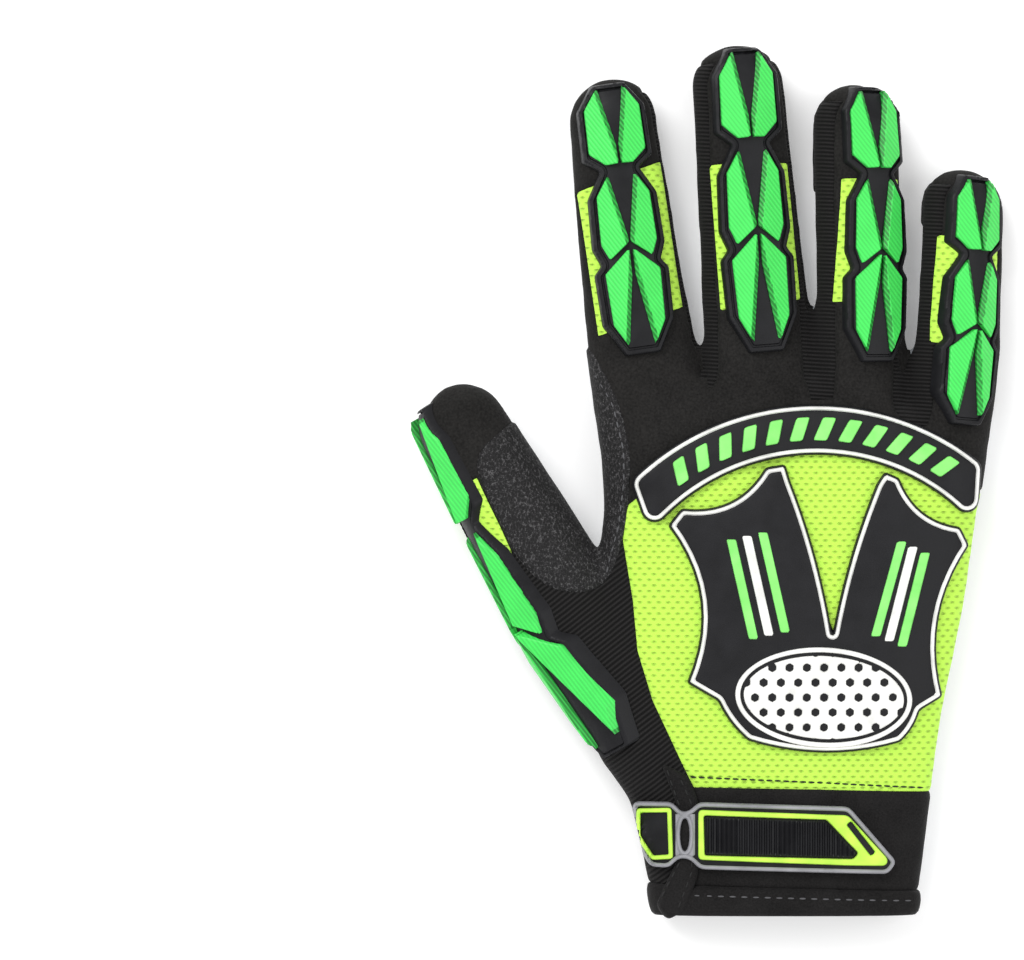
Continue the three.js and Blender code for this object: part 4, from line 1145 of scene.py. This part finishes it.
def draped(tree, kind, field, outline, matrix=PLAN, start=PLAN_START, margin=AREA_MARGIN, tight=1.0):
    """A fine grid over an outline in a frame, cut to where the field is below zero and along the stops
    of its kind of edge, and dropped onto the hand. Columns: at, on the hand; up, the frame's own up,
    longer on slopes; flat, the place in the frame; field; height, above the hand."""
    edge = EDGES[kind]
    step = edge["step"]
    (left, back), (right, front) = bounds_of(outline, margin)
    across = np.arange(left - step, right + 2 * step, step)
    along = np.arange(back - step, front + 2 * step, step)
    x, y = np.meshgrid(across, along)
    flat = np.stack([x.ravel(), y.ravel()], 1)
    index = np.arange(len(flat)).reshape(x.shape)
    a, b = index[:-1, :-1].ravel(), index[:-1, 1:].ravel()
    c, d = index[1:, 1:].ravel(), index[1:, :-1].ravel()
    triangles = np.concatenate([np.stack([a, b, c], 1), np.stack([a, c, d], 1)])
    values = field(flat)
    near = (values[triangles] < 0).any(1)
    sheet = Sheet(triangles, flat=flat, field=values).only(near).split("field")
    sheet = sheet.only(sheet.mean("field") < 0)
    for inset, _ in edge["stops"][1:edge["cuts"] + 1]:
        sheet = sheet.split("field", -tight * inset)
    up = (matrix.to_3x3() @ Vector((0, 0, 1))).normalized()
    at, slopes = [], []
    for u, v in sheet["flat"]:
        hit, normal, _, _ = tree.ray_cast(matrix @ Vector((u, v, start)), -up)
        if hit is None:
            hit, normal, _, _ = tree.find_nearest(matrix @ Vector((u, v, 0)))
        at.append(hit)
        slopes.append(1 / max(normal.dot(up), LEAST_FACING))
    sheet["at"] = np.array(at)
    sheet["up"] = np.array(up)[None, :] * np.array(slopes)[:, None]
    sheet["height"] = edge_height(kind, sheet["field"], tight)
    return sheet


def raised(sheet, top, bottom):
    """Closed shell of a draped sheet between two heights above the cloth."""
    high = sheet["at"] + sheet["up"] * np.broadcast_to(top, len(sheet["at"]))[:, None]
    low = sheet["at"] + sheet["up"] * np.broadcast_to(bottom, len(sheet["at"]))[:, None]
    return sheet.closed(high, low)


def relief(tree, kind, field, outline, **place):
    """Closed shell over an outline, with the edge of its kind."""
    sheet = draped(tree, kind, field, outline, **place)
    return raised(sheet, sheet["height"], EDGES[kind]["bed"])


def guard_points(name, rows, side):
    """Places of a guard's corners in its own frame, kept from wrapping too far round the digit."""
    digit = DIGITS[name]
    start, length, half = digit["guard"]
    turn = math.radians(digit["guard_roll"] - digit["roll"] + digit["turn"])
    points = []
    for along, share in rows:
        y = start + length * (1 - along)
        shift = np.interp(1 - along, (0, 0.5, 1), digit["shift"])
        half_width, half_depth = digit_size(name, min(y, start + length * GUARD_LAST_SIZE))
        reach = GUARD_WRAP * math.hypot(half_width * math.cos(turn), half_depth * math.sin(turn))
        points.append((float(np.clip(side * share * half + shift, -reach, reach)), y))
    return points


def line_distance(points, start, end):
    """Distance from a line, above zero on its left."""
    along = (np.array(end) - start) / np.linalg.norm(np.array(end) - start)
    away = points - start
    return along[0] * away[:, 1] - along[1] * away[:, 0]


def build_facet(tree, matrix, facet, edge):
    """A wedge with a flat top that slopes down along its inner edge, and the painted shade that darkens
    that slope.
    """
    outline = rounded(facet, 0.3)
    sheet = draped(tree, "facet", inside(outline), outline, matrix, DIGIT_START)
    start, end = facet[edge], facet[(edge + 1) % len(facet)]
    sheet["inner"] = np.abs(line_distance(sheet["flat"], start, end)) - FACET_BEVEL
    sheet = sheet.split("inner")
    up = np.array((matrix.to_3x3() @ Vector((0, 0, 1))).normalized())
    surface = (sheet["at"] - np.array(matrix.translation)) @ up
    across = np.abs(sheet["flat"][:, 0] - np.mean([start[0], end[0]]))
    slope = np.linalg.norm(sheet["up"], axis=1)
    rise = FACET_RIDGE + (FACET_EDGE - FACET_RIDGE) * np.clip(across / max(across.max(), 1), 0, 1)
    columns = np.column_stack([sheet["flat"], np.ones(len(surface))])
    plane = np.linalg.lstsq(columns, surface + rise * slope, rcond=None)[0]
    height = np.maximum(columns @ plane - surface, (GUARD_FACE + FACET_CLEAR) * slope)
    bevel = np.clip(-sheet["inner"] / FACET_BEVEL, 0, 1)
    height = np.maximum(height - bevel * FACET_DROP, (GUARD_GROOVE + FACET_FOOT) * slope)
    height -= edge_height("facet", sheet["field"]) * (bevel < 0.05)
    high = sheet["at"] + up * height[:, None]
    low = sheet["at"] + up * EDGES["facet"]["bed"]
    # Painted shade: 1 on the bevelled inner slope and 0 on the flat top, for both copies of the sheet.
    return sheet.closed(high, low), np.tile(np.where(bevel > 0.02, 1.0, 0.0), 2)


def build_guard(tree, name):
    """A guard's raised rim and face, and the pairs of facets that stand on it."""
    matrix, _ = digit_frame(name, DIGITS[name]["guard_roll"])
    outline = guard_points(name, GUARD_OUTLINE, 1) + guard_points(name, GUARD_OUTLINE[::-1], -1)
    outline = rounded(outline, 0.5)
    place = {"matrix": matrix, "start": DIGIT_START, "tight": DIGITS[name]["rim"]}
    base = relief(tree, "guard", inside(outline), outline, **place)
    make(f"{name}_guard", "guard_rubber", [base], [f"{name}_guard"])

    for part, rows in FACETS.items():
        spread = [(along, share * DIGITS[name]["spread"]) for along, share in rows]
        built = [
            build_facet(tree, matrix, guard_points(name, spread, side), INNER_EDGES[part])
            for side in (1, -1)
        ]
        # shades: the painted shade of each facet's inner slope.
        shells, shades = zip(*built)
        node = f"{name}_{part}_facets"
        make(node, "facet_green", shells, [node], sharp=24, shades=shades)


def build_pad(tree, name, outline, bars, swell=0.0):
    """A padded plate with white piping just inside its edge, which is the outline moved out by swell."""
    sheet = draped(tree, "pad", inside(outline, grow=swell), outline, margin=swell + AREA_MARGIN)
    depth = sheet.mean("field")
    shells = []
    for part in (depth > -PIPING[0], depth < -PIPING[1]):
        plate = sheet.only(part)
        shells.append(raised(plate, plate["height"], EDGES["pad"]["bed"]))
    pad = make(name, "pad_rubber", shells, [name])
    bead = sheet.only((depth > -PIPING[1]) & (depth < -PIPING[0]))
    bead_shell = raised(bead, bead["height"], PIPING_BED)
    make(f"{name}_piping", "stripe_white", [bead_shell])
    for bar_name, look, outlines, nodes in bars:
        bar = relief(tree, "bar", inside(*outlines), np.concatenate(outlines))
        make(bar_name, look, [bar], nodes)


def arch_bars():
    middle = np.array([ARCH["x"], ARCH["y"]])
    half_width, half_height = ARCH_BARS["half"]
    outlines = []
    for degrees in np.linspace(ARCH_BARS["first"], ARCH_BARS["last"], ARCH_BARS["count"]):
        angle = math.radians(degrees)
        out = np.array([math.cos(angle), math.sin(angle)])
        side = np.array([out[1], -out[0]])
        centre = middle + out * ARCH_BARS["radius"]
        along = out * half_height + side * ARCH_BARS["slant"]
        outlines.append(slab(centre, side * half_width, along, 0.6))
    return outlines


def honeycomb(points, centre, cell):
    """Distance in from the nearest wall between six-sided cells."""
    step = np.array([cell, cell * math.sqrt(3)])
    best = np.full(len(points), np.inf)
    for shift in (np.zeros(2), step / 2):
        offset = points - centre - shift
        offset = np.abs(offset - step * np.round(offset / step))
        distance = np.maximum(offset[:, 0], offset[:, 0] / 2 + offset[:, 1] * math.sqrt(3) / 2)
        best = np.minimum(best, distance)
    return cell / 2 - best


def build_emblem(tree):
    """Plain oval: a white ring around a honeycomb."""
    centre, half, turn = EMBLEM["centre"], EMBLEM["half"], EMBLEM["turn"]
    outer, inner, comb_edge = (
        ellipse(centre, half, turn, grow=-inset) for inset in (0, EMBLEM["ring"], EMBLEM["comb"])
    )

    def ribs(points):
        walls = honeycomb(points, np.array(centre), EMBLEM_CELL) - EMBLEM_RIB / 2
        return np.maximum(walls, polygon_distance(points, comb_edge))

    shells = [relief(tree, "emblem", field, outer) for field in (without(outer, inner), ribs)]
    make("oval_emblem", "stripe_white", shells, ["oval_emblem"])


def build_pads(tree):
    bars = [("arch_bars", "stripe_green", arch_bars(), [])]
    build_pad(tree, "knuckle_arch", arch_outline(), bars, ARCH_ROUND)
    stripes = []
    for name, top, foot in STRIPES:
        look = "stripe_white" if "middle" in name else "stripe_green"
        top, foot = np.array(top), np.array(foot)
        outline = slab((top + foot) / 2, np.array([STRIPE_WIDTH / 2, 0]), (foot - top) / 2, 0.5)
        stripes.append((name, look, [outline], [name]))
    build_pad(tree, "back_pad", rounded(bent_outline(BACK_PAD), 0.8), stripes)
    build_emblem(tree)


def build_closure(tree):
    """The wrist's turned edge, and the tab over it: border, recess, two frames and ribbed grip."""
    flap = rounded(WRIST_FLAP, 2.0)
    make("wrist_flap", "neoprene", [relief(tree, "flap", inside(flap), flap)], ["wrist_flap"])

    outline = rounded(TAB_OUTLINE, 1.6)
    slot = ellipse(**TAB_SLOT, steps=32)
    sheet = draped(tree, "tab", without(outline, slot), outline)
    sheet["bridge"] = inside(rounded(TAB_BRIDGE, 1.0))(sheet["flat"])
    middle = np.where(sheet["bridge"] < 0, TAB_BRIDGE_TOP, TAB_RECESS)
    sheet["height"] = np.where(-sheet["field"] < TAB_BORDER + 0.01, sheet["height"], middle)
    grey = (sheet.mean("field") > -TAB_BORDER) | (sheet.mean("bridge") < 0)
    border, recess = sheet.only(grey), sheet.only(~grey)
    border_shell = raised(border, border["height"], EDGES["tab"]["bed"])
    make("closure_tab", "tab_grey", [border_shell], ["closure_tab"])
    recess_shell = raised(recess, TAB_RECESS, TAB_RECESS_BED)
    make("closure_recess", "guard_rubber", [recess_shell], ["closure_strap"])

    small, large = rounded(TAB_SMALL_FRAME, 1.0), rounded(TAB_LARGE_FRAME, 1.2)
    grip, notch = rounded(TAB_GRIP, 0.6), rounded(TAB_NOTCH, 0.5)

    def small_band(points):
        edge = polygon_distance(points, small)
        return np.maximum(edge, -edge - TAB_FRAME_WIDTH)

    frames = {"small": (small_band, small), "large": (without(large, grip, notch), large)}
    for size, (band, shape) in frames.items():
        make(f"closure_{size}_frame", "tab_yellow", [relief(tree, "frame", band, shape)])

    sheet = draped(tree, "grip", inside(grip, grow=-GAP), grip)
    phase = (sheet["flat"][:, 0] - TAB_GRIP[0][0]) * TAB_RIBS / (TAB_GRIP[2][0] - TAB_GRIP[0][0])
    ribs = TAB_RIB_HEIGHT * np.clip(2.2 * np.sin(phase * math.tau), -1, 1)
    height = sheet["height"] + ribs * smoothstep(-sheet["field"], 0.1, 0.7)
    grip_shell = raised(sheet, height, EDGES["grip"]["bed"])
    make("closure_grip", "guard_rubber", [grip_shell], ["closure_grip"])


# Stitches


def stitch_row(tree, line, lift, gap, below=False):
    """Shells of short thread bumps along a line in plan, on the back or below, on the palm side."""
    line = np.asarray(line, float)
    runs = np.linalg.norm(np.diff(line, axis=0), axis=1)
    marks = np.concatenate([[0], np.cumsum(runs)])
    half = STITCH_LENGTH / 2
    shells = []
    for centre in np.arange(half, marks[-1] - half, STITCH_LENGTH + gap):
        ends = []
        for place in (centre - half, centre + half):
            x, y = (np.interp(place, marks, line[:, k]) for k in range(2))
            origin, down = ((x, y, -40.0), (0, 0, 1)) if below else ((x, y, 80.0), (0, 0, -1))
            hit, normal, _, _ = tree.ray_cast(Vector(origin), Vector(down))
            if hit is None:
                break
            ends.append(hit + normal * lift)
        if len(ends) == 2:
            shells.append(thread(*ends, normal))
    return shells


def thread(start, end, normal, width=STITCH_HALF_WIDTH, sides=6, rings=5):
    """Closed shell of one stitch, thinner at its ends."""
    along = (end - start).normalized()
    side = along.cross(normal).normalized()
    up = side.cross(along)
    points = []
    for ring in range(rings):
        share = (ring + 0.5) / rings
        swell = math.sin(math.pi * share) ** 0.5
        centre = start.lerp(end, share) + up * (swell - 1) * width * 0.6
        for k in range(sides):
            angle = math.tau * k / sides
            points.append(centre + (side * math.cos(angle) + up * math.sin(angle)) * width * swell)
    faces = []
    for ring in range(rings - 1):
        for k in range(sides):
            a, b = ring * sides + k, ring * sides + (k + 1) % sides
            faces += [(a, a + sides, b), (b, a + sides, b + sides)]
    last = (rings - 1) * sides
    for k in range(1, sides - 1):
        faces += [(0, k, k + 1), (last, last + k + 1, last + k)]
    return np.array(points), np.array(faces)


def build_stitches(tree):
    for name, (look, gap, lines) in STITCHES.items():
        shells = []
        for line, lift, below in lines:
            shells += stitch_row(tree, line, lift, gap, below)
        make(name, look, shells)


def build_palm_print(tree):
    """Plain slanted grip bars on the palm side, at the root of the index finger."""
    foot, head = np.array(GRIP_BARS["foot"], float), np.array(GRIP_BARS["head"], float)
    half = GRIP_BARS["half"]
    slant = math.radians(GRIP_BARS["slant"])
    across = np.array([math.cos(slant), math.sin(slant)])
    upward = np.array([-across[1], across[0]])
    mirror = np.array([-1, 1])
    outlines = []
    for share in np.linspace(0, 1, GRIP_BARS["count"]):
        bar = slab(foot + (head - foot) * share, across * half[0], upward * half[1], 0.5)
        outlines.append(bar * mirror)
    under = Matrix.Rotation(math.pi, 4, "Y")
    place = {"matrix": under, "start": UNDER_START}
    shell = relief(tree, "print", inside(*outlines), np.concatenate(outlines), **place)
    make("palm_grip_bars", "gloss_print", [shell])


# Stage


def build_stage():
    mesh = bpy.data.meshes.new("floor")
    corners = box(-FLOOR_HALF, -FLOOR_HALF, FLOOR_HALF, FLOOR_HALF)
    mesh.from_pydata([(x, y, FLOOR_HEIGHT) for x, y in corners], [], [(0, 1, 2, 3)])
    material = bpy.data.materials.new("pale_floor")
    material.use_nodes = True
    shader = material.node_tree.nodes["Principled BSDF"]
    shader.inputs["Base Color"].default_value = (0.9, 0.9, 0.9, 1)
    shader.inputs["Roughness"].default_value = 0.9
    shader.inputs["Emission Color"].default_value = (1, 1, 1, 1)
    shader.inputs["Emission Strength"].default_value = FLOOR_GLOW
    mesh.materials.append(material)
    floor = bpy.data.objects.new("floor", mesh)
    bpy.context.scene.collection.objects.link(floor)

    world = bpy.data.worlds.new("studio")
    world.use_nodes = True
    world.node_tree.nodes["Background"].inputs["Color"].default_value = (1, 1, 1, 1)
    world.node_tree.nodes["Background"].inputs["Strength"].default_value = WORLD_LIGHT
    bpy.context.scene.world = world
    bpy.context.scene.view_settings.view_transform = "Standard"

    for name, place, width, power in LAMPS:
        light = bpy.data.lights.new(name, "AREA")
        light.size = width
        light.energy = power
        lamp = bpy.data.objects.new(name, light)
        lamp.location = place
        lamp.rotation_euler = (-Vector(place)).to_track_quat("-Z", "Y").to_euler()
        bpy.context.scene.collection.objects.link(lamp)


def build_camera():
    lens = bpy.data.cameras.new("camera")
    lens.sensor_width = SENSOR
    lens.lens = SENSOR * (VIEW_HEIGHT - MEAN_HEIGHT) / VIEW_WIDTH
    lens.clip_end = 10
    camera = bpy.data.objects.new("camera", lens)
    camera.location = (VIEW_CENTRE[0] * MM, VIEW_CENTRE[1] * MM, VIEW_HEIGHT * MM)
    bpy.context.scene.collection.objects.link(camera)
    bpy.context.scene.camera = camera


def build_glove():
    points, triangles, normals = hand_surface()
    smooth = BVHTree.FromPolygons(points.tolist(), triangles.tolist())
    skin = Sheet(triangles, at=wrinkled(points, normals), out=normals)
    build_cloth(skin)
    build_patches(skin)
    for name in DIGITS:
        build_guard(smooth, name)
    build_pads(smooth)
    build_closure(smooth)
    build_stitches(smooth)
    build_palm_print(smooth)


build_camera()
build_stage()
build_glove()
